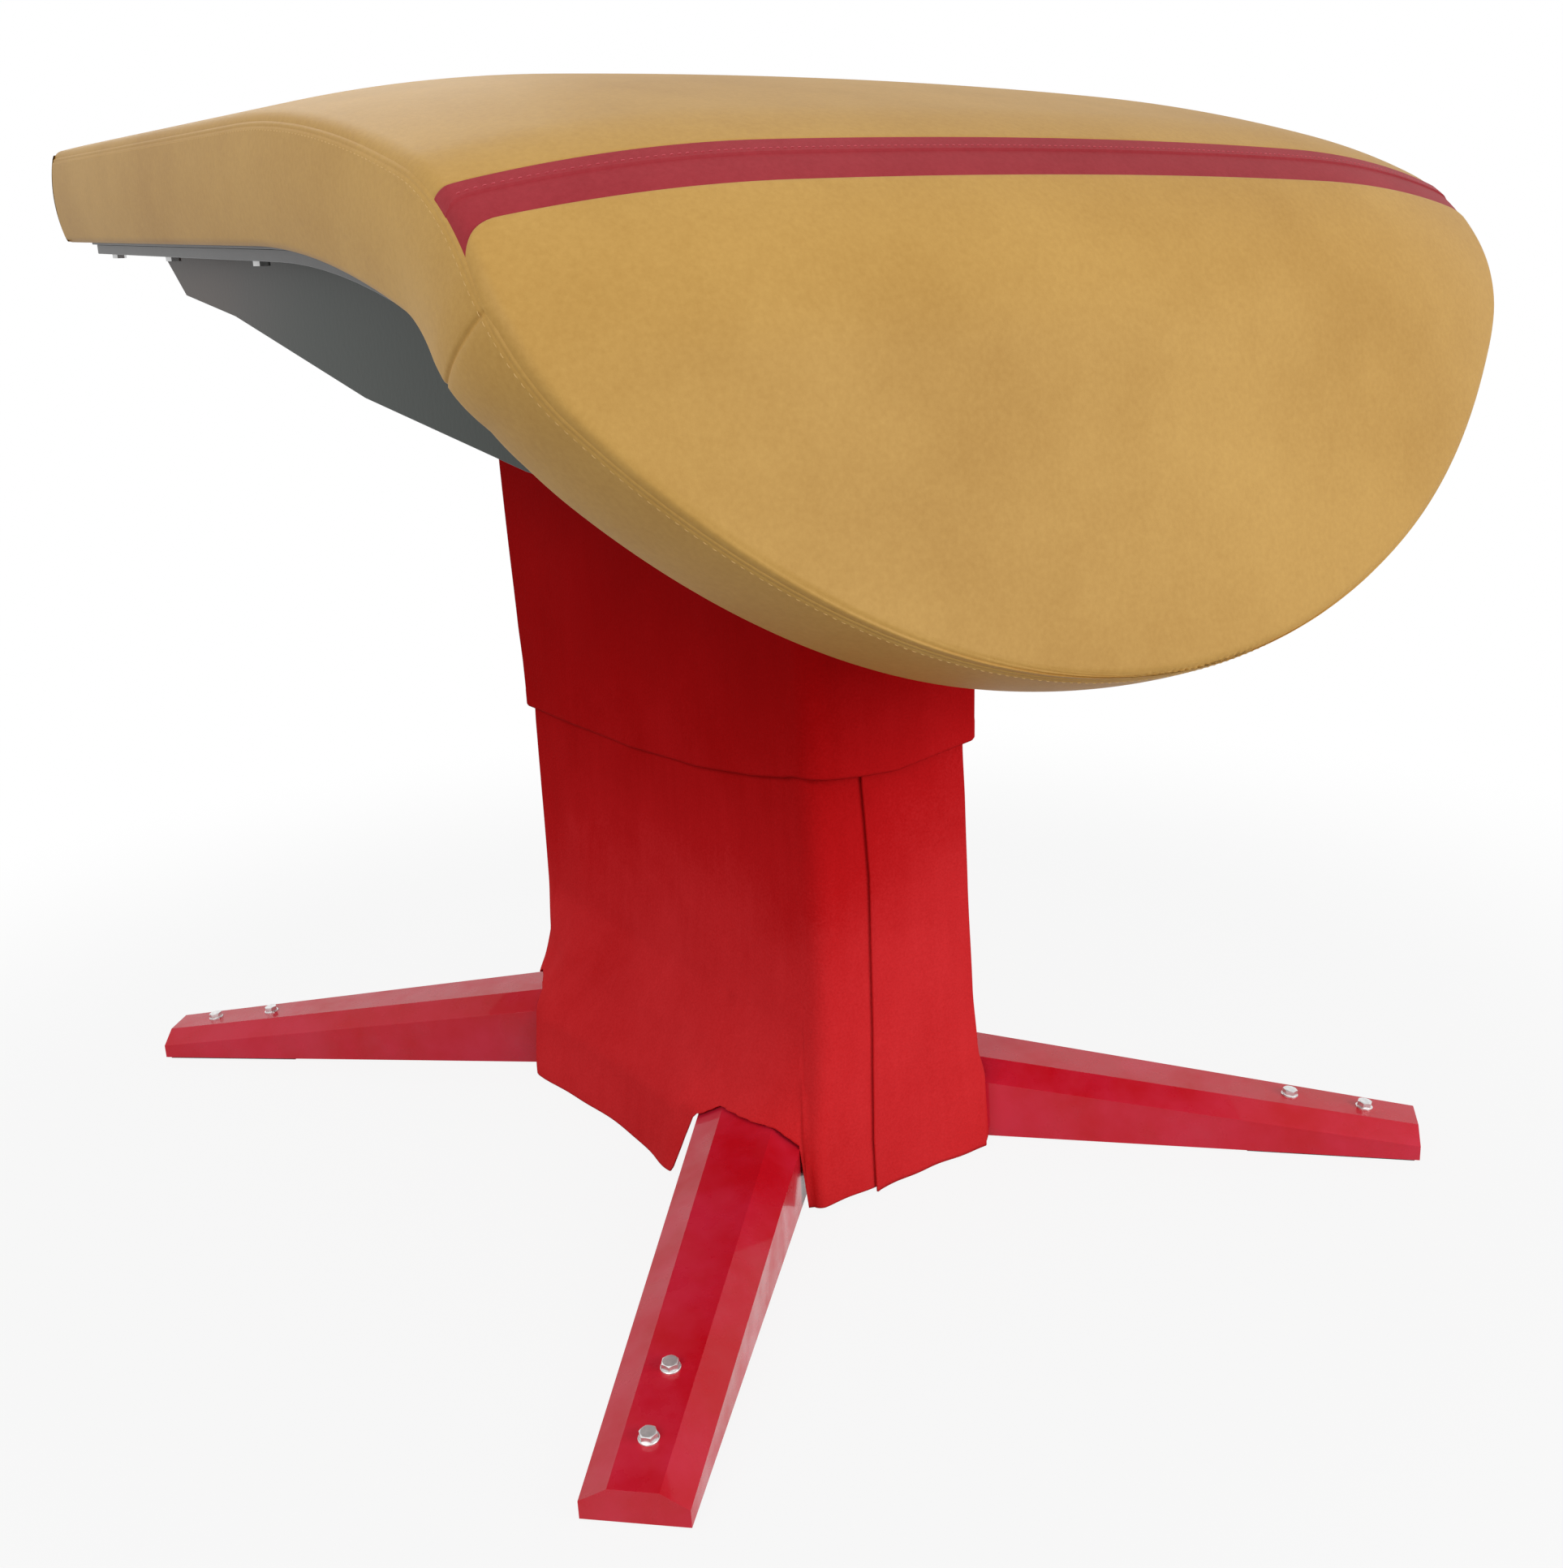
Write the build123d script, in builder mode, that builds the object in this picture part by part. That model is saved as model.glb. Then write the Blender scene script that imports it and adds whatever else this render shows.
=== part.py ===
"""Vaulting table: a padded, curved body on a telescopic stand with four splayed legs.

Millimetres. +X is the right-hand side seen from the run-up, +Y points away from the run-up,
+Z is up. The origin lies on the floor, midway between the two points where the legs cross.
"""
from build123d import *
from collections import namedtuple
from math import acos, asin, atan2, cos, degrees, hypot, radians, sin, sqrt, tan
import os

os.makedirs("parts", exist_ok=True)

# Side profile of the padded body, followed along its top seam from the rear end to the tongue
rear_y = 615.0
rear_seam_z = 1057.5
deck_slope = 3.9
deck_front_y = -119.0
brow_radius = 1507.0
brow_end_slope = 17.3
nose_radius = 184.0
tongue_slope = 77.9
tongue_run = 300.0

# Cross-section of the padded body
seam_half_width = 472.5
side_half_width = 479.0
under_half_width = 472.0
pad_thickness = 95.0
crown = 38.0
crown_radius = 6600.0
shoulder_radius = 1000.0

# Outline of the tongue seen from the run-up, and how its edge slopes out towards the back
tip_radius = 570.5
tip_centre_z = 1148.0
tongue_corner_radius = 140.0
tongue_flare = 2.0
outline_y = -600.0

# Layers of the padded body
cover = 2.5
board = 15.0
plate = 3.0
plate_half_width = 455.0
plate_rear_inset = 57.0
rail_width = 40.0
rail_thickness = 10.0
seat_gap = 0.3
seam_gap = 0.4
stripe_start_slope = 34.1
stripe_end_slope = 45.1
cross_seam_slope = 62.5

# Bolts in the steel plate under the body
plate_bolt_x = 430.0
plate_bolt_y = (545.0, 300.0, -5.0)
small_head_width = 13.0
small_head_height = 5.0

# Wedge-shaped housing between the body and the column
keel_half_width = 400.0
keel_wall = 6.0
shell_overrun = 50.0
keel_rear_top = (467.0, 934.0)
keel_rear_foot = (400.0, 892.0)
keel_rear_knee = (220.0, 865.0)
keel_front_knee = (-135.0, 790.0)
keel_front_foot = (-440.0, 745.0)

# Legs: section at the tip and how much it grows for each millimetre towards the hub
leg_reach = 660.0
front_leg_angle = 43.0
rear_leg_angle = 51.0
leg_cross_y = 91.0
leg_lift = 3.0
leg_wall = 4.0
leg_tip_half_width = 42.4
leg_tip_half_top = 19.8
leg_tip_side_height = 18.2
leg_tip_height = 30.7
leg_half_width_growth = 0.0294
leg_half_top_growth = 0.018
leg_side_growth = 0.1069
leg_height_growth = 0.1133
leg_overrun = 60.0
foot_length = 165.0
foot_bolt_places = (50.0, 123.0)
foot_bolt_radius = 4.0
foot_bolt_length = 22.0
foot_head_width = 13.0
foot_head_height = 5.3
washer_radius = 8.4
washer_thickness = 1.6

# Stand: hub beam, two telescopic posts and their glides
stand_y = -10.0
beam_half_width = 65.0
beam_length = 560.0
root_flange_edge = 26.0
beam_bottom = 8.0
beam_height = 85.0
beam_wall = 5.0
flange = 8.0
post_setback = 105.0
post_spread = beam_length - 2 * post_setback
outer_post = 100.0
inner_post = 80.0
post_wall = 4.0
outer_post_top = 660.0
inner_post_bottom = 215.0
glide_height = 60.0
lower_glide_height = 40.0
glide_lip = 4.0
slide_clearance = 0.3
index_pitch = 50.0
index_holes_below = 5
index_holes_above = 2
index_hole_radius = 6.5
saddle_height = 40.0
saddle_length = 60.0
saddle_wall = 3.0
tie_height = 50.0
tie_width = 40.0
tie_bottom = 795.0

# Index plunger in the front post
plunger_z = 520.0
plunger_radius = 6.0
plunger_fit = 0.05
plunger_throw = 12.0
plunger_tip_gap = 2.0
housing_radius = 15.0
housing_length = 22.0
knob_radius = 15.0
knob_length = 18.0

# Gas spring between the posts
spring_radius = 14.0
spring_bore = 12.0
spring_bottom = 125.0
spring_top = 545.0
spring_rod_radius = 5.0
spring_fit = 0.08
piston_z = 245.0
piston_height = 15.0
gland_height = 16.0
eye_radius = 10.0
eye_half_width = 11.0
pin_radius = 4.0
pin_fit = 0.05
ear_thickness = 6.0
ear_half_width = 13.0
foot_pin_z = 112.0
head_pin_z = 775.0

# Fabric sleeves round the column
sleeve_cloth = 3.0
sleeve_room = 15.0
lower_sleeve_half_x = 90.5
lower_sleeve_half_y = beam_length / 2 + beam_wall + sleeve_room
sleeve_play_x = 5.5
sleeve_play_y = 8.0
upper_sleeve_half_x = lower_sleeve_half_x + sleeve_play_x
upper_sleeve_half_y = lower_sleeve_half_y + sleeve_play_y
upper_hem_z = 400.0
upper_hem_front_z = 441.0
upper_hem_dip = 12.0
upper_hem_level_y = 30.0
lower_sleeve_top = 700.0
lower_straight_z = 290.0
lower_waist_z = 200.0
lower_waist_half_x = 101.0
lower_knee_z = 85.0
lower_hem_z = 6.0
lower_corner_half_x = 107.0
lower_knee_bulge = 172.0
lower_hem_bulge = 188.0
notch_clearance = 5.0
flap_thickness = 2.2
flap_left = -37.0
flap_right = 33.0
flap_top = 450.0
flap_bottom = 5.0
sleeve_rail_height = 20.0
sleeve_rail_wall = 3.0
sleeve_frame_height = 45.0
sleeve_frame_drop = 10.0

Stretch = namedtuple("Stretch", "y z slope radius length")


def body_path():
    """The seam line in side view: deck, brow, nose and tongue, each tangent to the next."""
    a0, a1, a2 = radians(deck_slope), radians(brow_end_slope), radians(tongue_slope)
    deck = (rear_y - deck_front_y) / cos(a0)
    brow_y, brow_z = deck_front_y, rear_seam_z - deck * sin(a0)
    nose_y = brow_y - brow_radius * (sin(a1) - sin(a0))
    nose_z = brow_z - brow_radius * (cos(a0) - cos(a1))
    tongue_y = nose_y - nose_radius * (sin(a2) - sin(a1))
    tongue_z = nose_z - nose_radius * (cos(a1) - cos(a2))
    return [
        Stretch(rear_y, rear_seam_z, a0, None, deck),
        Stretch(brow_y, brow_z, a0, brow_radius, brow_radius * (a1 - a0)),
        Stretch(nose_y, nose_z, a1, nose_radius, nose_radius * (a2 - a1)),
        Stretch(tongue_y, tongue_z, a2, None, tongue_run),
    ]


path = body_path()
path_end = sum(stretch.length for stretch in path)
brow_end = path[0].length + path[1].length


def along(stretch, distance):
    """The same stretch, started a distance further along it."""
    y, z, slope, radius, length = stretch
    if radius is None:
        y, z = y - distance * cos(slope), z - distance * sin(slope)
    else:
        later = slope + distance / radius
        y, z = y - radius * (sin(later) - sin(slope)), z - radius * (cos(slope) - cos(later))
        slope = later
    return Stretch(y, z, slope, radius, length - distance)


def stretches(start, end):
    """The parts of the path between two distances from the rear end."""
    found, passed = [], 0.0
    for stretch in path:
        first = max(start - passed, 0.0)
        last = min(end - passed, stretch.length)
        if last - first > 0.01:
            found.append(along(stretch, first)._replace(length=last - first))
        passed += stretch.length
    return found


def station(stretch):
    """A plane square to the path: local x is +X, local y points out of the padded face."""
    travel = (0, -cos(stretch.slope), -sin(stretch.slope))
    return Plane(origin=(0, stretch.y, stretch.z), x_dir=(1, 0, 0), z_dir=travel)


def station_at(y):
    """The station of the deck or brow at a place along Y."""
    if y >= deck_front_y:
        return station(along(path[0], (rear_y - y) / cos(path[0].slope)))
    turn = asin(sin(path[1].slope) + (deck_front_y - y) / brow_radius) - path[1].slope
    return station(along(path[1], turn * brow_radius))


def nose_distance(slope):
    """How far along the path the nose has reached a slope in degrees."""
    return brow_end + nose_radius * radians(slope - brow_end_slope)


def carried(section, start, end):
    """A section carried along the path: extruded on straight stretches, revolved on bends."""
    with BuildPart() as form:
        for stretch in stretches(start, end):
            with BuildSketch(station(stretch)):
                add(section)
            if stretch.radius is None:
                extrude(amount=stretch.length)
            else:
                centre_y = stretch.y + stretch.radius * sin(stretch.slope)
                centre_z = stretch.z - stretch.radius * cos(stretch.slope)
                turn = degrees(stretch.length / stretch.radius)
                revolve(axis=Axis((0, centre_y, centre_z), (1, 0, 0)), revolution_arc=turn)
    return form.part


def tongue_outline(grow):
    """The tongue seen from the front: straight sides, two corner arcs and one wide arc."""
    half, big, corner = seam_half_width + grow, tip_radius + grow, tongue_corner_radius + grow
    corner_x = seam_half_width - tongue_corner_radius
    reach = tip_radius - tongue_corner_radius
    corner_z = tip_centre_z - sqrt(reach**2 - corner_x**2)
    meet_x, meet_z = big * corner_x / reach, tip_centre_z + big * (corner_z - tip_centre_z) / reach
    turn_x, turn_z = half - corner_x, meet_z - corner_z
    mid = Vector(1 + (meet_x - corner_x) / corner, turn_z / corner).normalized() * corner
    top = rear_seam_z + 4 * crown
    with BuildSketch() as outline:
        with BuildLine():
            Line((-half, top), (-half, corner_z))
            ThreePointArc((-half, corner_z), (-corner_x - mid.X, corner_z + mid.Y), (-meet_x, meet_z))
            ThreePointArc((-meet_x, meet_z), (0, tip_centre_z - big), (meet_x, meet_z))
            ThreePointArc((meet_x, meet_z), (corner_x + mid.X, corner_z + mid.Y), (half, corner_z))
            Line((half, corner_z), (half, top))
            Line((half, top), (-half, top))
        make_face()
    return outline.sketch


def tongue_form(inset):
    """The solid that trims the body to the tongue's outline, wider towards the back."""
    with BuildPart() as form:
        for y in (outline_y - 2 * crown - pad_thickness, rear_y + pad_thickness):
            with BuildSketch(Plane.XZ.offset(-y)):
                add(tongue_outline((y - outline_y) * tan(radians(tongue_flare)) - inset))
        loft(ruled=True)
    return form.part


def crown_line(half, drop):
    """The crowned top of a section, left to right: a wide arc between two tighter shoulder arcs."""
    level, reach = crown_radius - crown, crown_radius - shoulder_radius
    span = hypot(half, level)
    apart = acos((reach**2 + span**2 - shoulder_radius**2) / (2 * reach * span))
    meet_turn = atan2(half, level) - apart
    centre_x, centre_z = reach * sin(meet_turn), reach * cos(meet_turn) - level
    end_turn = atan2(half - centre_x, -centre_z)
    shoulder = []
    for turn in (end_turn, (end_turn + meet_turn) / 2, meet_turn):
        x, z = centre_x + shoulder_radius * sin(turn), centre_z + shoulder_radius * cos(turn)
        shoulder.append((x, z - drop))
    left = [(-x, z) for x, z in shoulder]
    ThreePointArc(*left)
    ThreePointArc(left[-1], (0, crown - drop), shoulder[-1])
    ThreePointArc(*reversed(shoulder))


def pad_section(inset, drop, depth):
    """Closed section of the body: crowned top, bulged sides drawn in to the seam, flat under."""
    seam, side, under = seam_half_width - inset, side_half_width - inset, under_half_width - inset
    low = max(depth, pad_thickness)
    with BuildSketch() as section:
        with BuildLine():
            crown_line(seam, drop)
            ThreePointArc((seam, -drop), (side, -pad_thickness / 2), (under, -low))
            Line((under, -low), (-under, -low))
            ThreePointArc((-under, -low), (-side, -pad_thickness / 2), (-seam, -drop))
        make_face()
        if depth < low:
            with Locations((0, -(depth + low) / 2)):
                Rectangle(2 * side_half_width, low - depth, mode=Mode.SUBTRACT)
    return section.sketch


def skin_section():
    """Crowned strip one cover thickness deep, from seam to seam."""
    half = seam_half_width
    with BuildSketch() as section:
        with BuildLine():
            crown_line(half, 0)
            Line((half, 0), (half, -cover))
            crown_line(half, cover)
            Line((-half, -cover), (-half, 0))
        make_face()
    return section.sketch


def flat_section(half_width, top, bottom):
    """Rectangle in the station plane between two depths below the seam line."""
    with BuildSketch() as section:
        with Locations((0, -(top + bottom) / 2)):
            Rectangle(2 * half_width, bottom - top)
    return section.sketch


# Everything on the head stays below this form, which is the body with its steel plate
under_plate = pad_thickness + seat_gap + plate
body_space = carried(flat_section(side_half_width * 1.2, -crown, under_plate + seat_gap), 0, path_end)
body_trim = tongue_form(0)
core_trim = tongue_form(cover + seat_gap)
skin_inset = cover + seat_gap

# Curved board that gives the padded body its shape
board_section = flat_section(under_half_width - 2 * cover, pad_thickness - board, pad_thickness)
board_form = carried(board_section, skin_inset, path_end)
with BuildPart() as pad_board:
    add(board_form)
    add(core_trim, mode=Mode.INTERSECT)

# Foam block on the board, crowned across its width, with its sides drawn in under the seam
foam_section = pad_section(skin_inset, skin_inset, pad_thickness - board - seat_gap)
foam_form = carried(foam_section, skin_inset, path_end)
with BuildPart() as foam_pad:
    add(foam_form)
    add(core_trim, mode=Mode.INTERSECT)

# Cover: three crowned face panels in line, the middle one a narrow red stripe
stripe_start = nose_distance(stripe_start_slope)
stripe_end = nose_distance(stripe_end_slope)
cross_seam = nose_distance(cross_seam_slope)
deck_form = carried(skin_section(), 0, stripe_start - seam_gap)
stripe_form = carried(skin_section(), stripe_start, stripe_end)
face_form = carried(skin_section(), stripe_end + seam_gap, path_end)
with BuildPart() as cover_deck:
    add(deck_form)
with BuildPart() as cover_stripe:
    add(stripe_form)
with BuildPart() as cover_tongue:
    add(face_form)
    add(body_trim, mode=Mode.INTERSECT)

# Cover: edge bands along both sides up to the cross seams, and one across the rear end
body_section = pad_section(0, cover + seam_gap, pad_thickness)
hollow_section = pad_section(cover, 0, pad_thickness + cover)
hollow_trim = tongue_form(cover)


def band_shell(start, end):
    """The cover's edge between two distances: one cover thick, round the body's outline."""
    with BuildPart() as hollow:
        add(carried(hollow_section, start - cover, end + cover))
        add(hollow_trim, mode=Mode.INTERSECT)
    with BuildPart() as shell:
        add(carried(body_section, start, end))
        add(body_trim, mode=Mode.INTERSECT)
        add(hollow.part, mode=Mode.SUBTRACT)
    return shell


side_shells = band_shell(skin_inset, cross_seam - seam_gap).solids().sort_by(Axis.X)
with BuildPart() as band_left:
    add(side_shells[0])
with BuildPart() as band_right:
    add(side_shells[-1])
with BuildPart() as band_rear:
    add(carried(body_section, 0, cover))

# Cover: the band that runs round the tongue from one cross seam to the other
with BuildPart() as band_tongue:
    add(band_shell(cross_seam, path_end).part)

# Thin steel plate screwed under the board, and its bolts
plate_section = flat_section(plate_half_width, pad_thickness + seat_gap, under_plate)
plate_form = carried(plate_section, plate_rear_inset, brow_end)
with BuildPart() as base_plate:
    add(plate_form)

# Flat bar down each side of the plate, which the bolts clamp
with BuildPart() as plate_rails:
    with BuildSketch() as bar_section:
        with Locations((0, -under_plate - rail_thickness / 2)):
            with GridLocations(2 * plate_bolt_x, 0, 2, 1):
                Rectangle(rail_width, rail_thickness)
    add(carried(bar_section.sketch, plate_rear_inset, brow_end))
bolt_depth = under_plate + rail_thickness
with BuildPart() as plate_bolts:
    for bolt_y in plate_bolt_y:
        level = station_at(bolt_y)
        seat = Plane(origin=level.origin - level.y_dir * bolt_depth, x_dir=(1, 0, 0), z_dir=-level.y_dir)
        with BuildSketch(seat):
            with Locations((-plate_bolt_x, 0), (plate_bolt_x, 0)):
                RegularPolygon(small_head_width / 2, 6, major_radius=False)
        extrude(amount=small_head_height)


def keel_line():
    """Lower edge of the housing in side view, from the rear foot to the tongue."""
    return [keel_rear_foot, keel_rear_knee, keel_front_knee, keel_front_foot]


def keel_profile():
    """The housing in side view, run up into the body so that the body trims it."""
    inside = pad_thickness / 2
    front_y = path[3].y + inside
    return [
        *keel_line(),
        (front_y, keel_front_foot[1] - 10),
        (front_y, path[3].z),
        (path[2].y + 5, path[2].z - inside),
        (deck_front_y, path[1].z - inside),
        (keel_rear_top[0] + 15, keel_rear_top[1] + inside),
        keel_rear_top,
    ]


def side_slab(points, left, right):
    """A closed outline in side view, extruded across from left to right."""
    with BuildPart() as slab:
        with BuildSketch(Plane.YZ.offset(left)):
            with BuildLine():
                Polyline(*points, close=True)
            make_face()
        extrude(amount=right - left)
    return slab.part


# Housing: two side panels, a sloping rear panel and a bent belly panel with the mast opening
with BuildPart() as keel_left:
    add(side_slab(keel_profile(), -keel_half_width, -keel_half_width + keel_wall))
    add(body_space, mode=Mode.SUBTRACT)
with BuildPart() as keel_right:
    add(side_slab(keel_profile(), keel_half_width - keel_wall, keel_half_width))
    add(body_space, mode=Mode.SUBTRACT)

keel_inner = keel_half_width - keel_wall - seat_gap
keel_rear_rake = (keel_rear_top[1] - keel_rear_foot[1]) / (keel_rear_top[0] - keel_rear_foot[0])
rear_points = [
    keel_rear_foot,
    (keel_rear_foot[0] - 2 * keel_wall, keel_rear_foot[1]),
    (keel_rear_top[0] - 2 * keel_wall + shell_overrun, keel_rear_top[1] + shell_overrun * keel_rear_rake),
    (keel_rear_top[0] + shell_overrun, keel_rear_top[1] + shell_overrun * keel_rear_rake),
]
belly_slope = (keel_rear_foot[1] - keel_rear_knee[1]) / (keel_rear_foot[0] - keel_rear_knee[0])
belly_setback = 2 * keel_wall + seat_gap
belly_points = keel_line()
belly_points[0] = (keel_rear_foot[0] - belly_setback, keel_rear_foot[1] - belly_setback * belly_slope)
belly_front = (path[3].y + pad_thickness / 2, keel_front_foot[1] - 10)
belly_points.append(belly_front)
belly_points += [(y, z + keel_wall) for y, z in reversed(belly_points)]
with BuildPart() as keel_rear:
    add(side_slab(rear_points, -keel_inner, keel_inner))
    add(body_space, mode=Mode.SUBTRACT)
with BuildPart() as keel_belly:
    add(side_slab(belly_points, -keel_inner, keel_inner))
    add(body_space, mode=Mode.SUBTRACT)
    with BuildSketch(Plane.XY.offset(keel_front_foot[1] - pad_thickness)):
        with Locations((0, stand_y)):
            Rectangle(2 * (upper_sleeve_half_x + seat_gap), 2 * (upper_sleeve_half_y + seat_gap))
    extrude(amount=3 * pad_thickness, mode=Mode.SUBTRACT)

front_post_y = stand_y - post_spread / 2
rear_post_y = stand_y + post_spread / 2
saddle_top = under_plate + 2 * seat_gap


def saddle(y):
    """Hollow cross beam under the plate, square to the deck where it stands."""
    level = station_at(y)
    with BuildPart() as beam:
        for wall, mode in ((0, Mode.ADD), (saddle_wall, Mode.SUBTRACT)):
            with BuildSketch(level):
                with Locations((0, -saddle_top - saddle_height / 2)):
                    Rectangle(2 * keel_inner, saddle_height - 2 * wall)
            extrude(amount=saddle_length / 2 - wall, both=True, mode=mode)
    return beam.part


def inner_post_form(y, holes):
    """Square tube that slides in the stand, cut at its top to the slope of its saddle."""
    level = station_at(y)
    with BuildPart() as post:
        with BuildSketch(Plane.XY.offset(inner_post_bottom)):
            with Locations((0, y)):
                Rectangle(inner_post, inner_post)
                Rectangle(inner_post - 2 * post_wall, inner_post - 2 * post_wall, mode=Mode.SUBTRACT)
        extrude(amount=rear_seam_z - inner_post_bottom)
        with BuildSketch(level):
            with Locations((0, 2 * outer_post - saddle_top - saddle_height)):
                Rectangle(2 * outer_post, 4 * outer_post)
        extrude(amount=2 * outer_post, both=True, mode=Mode.SUBTRACT)
        if holes:
            with BuildSketch(Plane.XZ.offset(-y)):
                for step in range(-index_holes_below, index_holes_above + 1):
                    with Locations((0, plunger_z + step * index_pitch)):
                        Circle(index_hole_radius)
            extrude(amount=inner_post, mode=Mode.SUBTRACT)
    return post.part


def outer_post_form(y, hole):
    """Square tube welded to a bolted foot flange on the hub beam."""
    deck_z = beam_bottom + beam_height
    bolt = outer_post / 2 + flange
    with BuildPart() as post:
        with BuildSketch(Plane.XY.offset(deck_z)):
            with Locations((0, y)):
                Rectangle(2 * beam_half_width, outer_post + 4 * flange)
                with GridLocations(0, 2 * bolt, 1, 2):
                    with GridLocations(outer_post * 0.8, 0, 2, 1):
                        Circle(small_head_width / 3, mode=Mode.SUBTRACT)
        extrude(amount=flange)
        with BuildSketch(Plane.XY.offset(deck_z + flange)):
            with Locations((0, y)):
                Rectangle(outer_post, outer_post)
                Rectangle(outer_post - 2 * post_wall, outer_post - 2 * post_wall, mode=Mode.SUBTRACT)
        extrude(amount=outer_post_top - deck_z - flange)
        if hole:
            with BuildSketch(Plane.XZ.offset(-y)):
                with Locations((0, plunger_z)):
                    Circle(plunger_radius + seat_gap)
            extrude(amount=outer_post, mode=Mode.SUBTRACT)
    return post.part


def upper_glide_form(y):
    """Plastic collar in the mouth of the outer post, with a lip that rests on its rim."""
    inside = outer_post - 2 * post_wall - 2 * seat_gap
    bore = inner_post + 2 * slide_clearance
    with BuildPart() as glide:
        for level, width, height in (
            (outer_post_top - glide_height, inside, glide_height),
            (outer_post_top, outer_post, glide_lip),
        ):
            with BuildSketch(Plane.XY.offset(level)):
                with Locations((0, y)):
                    Rectangle(width, width)
                    Rectangle(bore, bore, mode=Mode.SUBTRACT)
            extrude(amount=height)
    return glide.part


def lower_glide_form(y):
    """Plastic collar pinned round the bottom of the inner post."""
    with BuildPart() as glide:
        with BuildSketch(Plane.XY.offset(inner_post_bottom)):
            with Locations((0, y)):
                width = outer_post - 2 * post_wall - 2 * slide_clearance
                Rectangle(width, width)
                Rectangle(inner_post, inner_post, mode=Mode.SUBTRACT)
        extrude(amount=lower_glide_height)
    return glide.part


# Telescopic posts, glides and saddles, front and rear
with BuildPart() as saddle_front:
    add(saddle(front_post_y))
with BuildPart() as saddle_rear:
    add(saddle(rear_post_y))
with BuildPart() as inner_post_front:
    add(inner_post_form(front_post_y, True))
with BuildPart() as inner_post_rear:
    add(inner_post_form(rear_post_y, False))
with BuildPart() as outer_post_front:
    add(outer_post_form(front_post_y, True))
with BuildPart() as outer_post_rear:
    add(outer_post_form(rear_post_y, False))
with BuildPart() as upper_glide_front:
    add(upper_glide_form(front_post_y))
with BuildPart() as upper_glide_rear:
    add(upper_glide_form(rear_post_y))
with BuildPart() as lower_glide_front:
    add(lower_glide_form(front_post_y))
with BuildPart() as lower_glide_rear:
    add(lower_glide_form(rear_post_y))

# Bolts of the post flanges
with BuildPart() as post_bolts:
    with BuildSketch(Plane.XY.offset(beam_bottom + beam_height + flange)):
        for post_y in (front_post_y, rear_post_y):
            with Locations((0, post_y)):
                with GridLocations(outer_post * 0.8, outer_post + 2 * flange, 2, 2):
                    RegularPolygon(small_head_width / 2, 6, major_radius=False)
    extrude(amount=small_head_height)

# Bar that ties the inner posts together, with two ears for the gas spring's top pin
with BuildPart() as tie_bar:
    with BuildSketch(Plane.XY.offset(tie_bottom)):
        with Locations((0, stand_y)):
            Rectangle(tie_width, post_spread - inner_post)
    extrude(amount=tie_height)
    with BuildSketch(Plane.YZ):
        with BuildLine():
            Polyline(
                (stand_y - eye_radius, tie_bottom),
                (stand_y - eye_radius, head_pin_z - eye_radius),
                (stand_y + eye_radius, head_pin_z - eye_radius),
                (stand_y + eye_radius, tie_bottom),
                close=True,
            )
        make_face()
    extrude(amount=ear_half_width + ear_thickness, both=True)
    with BuildSketch(Plane.YZ):
        with Locations((stand_y, (tie_bottom + head_pin_z) / 2 - eye_radius)):
            Rectangle(4 * eye_radius, tie_bottom - head_pin_z + 2 * eye_radius)
    extrude(amount=ear_half_width, both=True, mode=Mode.SUBTRACT)
    with BuildSketch(Plane.YZ):
        with Locations((stand_y, head_pin_z)):
            Circle(pin_radius + pin_fit)
    extrude(amount=tie_width, both=True, mode=Mode.SUBTRACT)


def spring_pin(z):
    """Pin through both ears and the eye of the gas spring."""
    with BuildPart() as pin:
        with BuildSketch(Plane.YZ):
            with Locations((stand_y, z)):
                Circle(pin_radius)
        extrude(amount=ear_half_width + ear_thickness + 3, both=True)
    return pin.part


def spring_eye(z):
    """Drilled end eye of the gas spring."""
    with BuildPart() as eye:
        with BuildSketch(Plane.YZ):
            with Locations((stand_y, z)):
                Circle(eye_radius)
                Circle(pin_radius + pin_fit, mode=Mode.SUBTRACT)
        extrude(amount=eye_half_width, both=True)
    return eye.part


with BuildPart() as spring_head_pin:
    add(spring_pin(head_pin_z))
with BuildPart() as spring_foot_pin:
    add(spring_pin(foot_pin_z))

# Fork on the hub beam that holds the gas spring's lower eye
with BuildPart() as spring_fork:
    with BuildSketch(Plane.YZ):
        with Locations((stand_y, (beam_bottom + beam_height + foot_pin_z + eye_radius - 2) / 2)):
            Rectangle(2 * eye_radius, foot_pin_z + eye_radius - 2 - beam_bottom - beam_height)
    extrude(amount=ear_half_width + ear_thickness, both=True)
    with BuildSketch(Plane.YZ):
        with Locations((stand_y, foot_pin_z + ear_thickness / 2)):
            Rectangle(4 * eye_radius, 2 * eye_radius + ear_thickness)
    extrude(amount=ear_half_width, both=True, mode=Mode.SUBTRACT)
    with BuildSketch(Plane.YZ):
        with Locations((stand_y, foot_pin_z)):
            Circle(pin_radius + pin_fit)
    extrude(amount=tie_width, both=True, mode=Mode.SUBTRACT)

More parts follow.
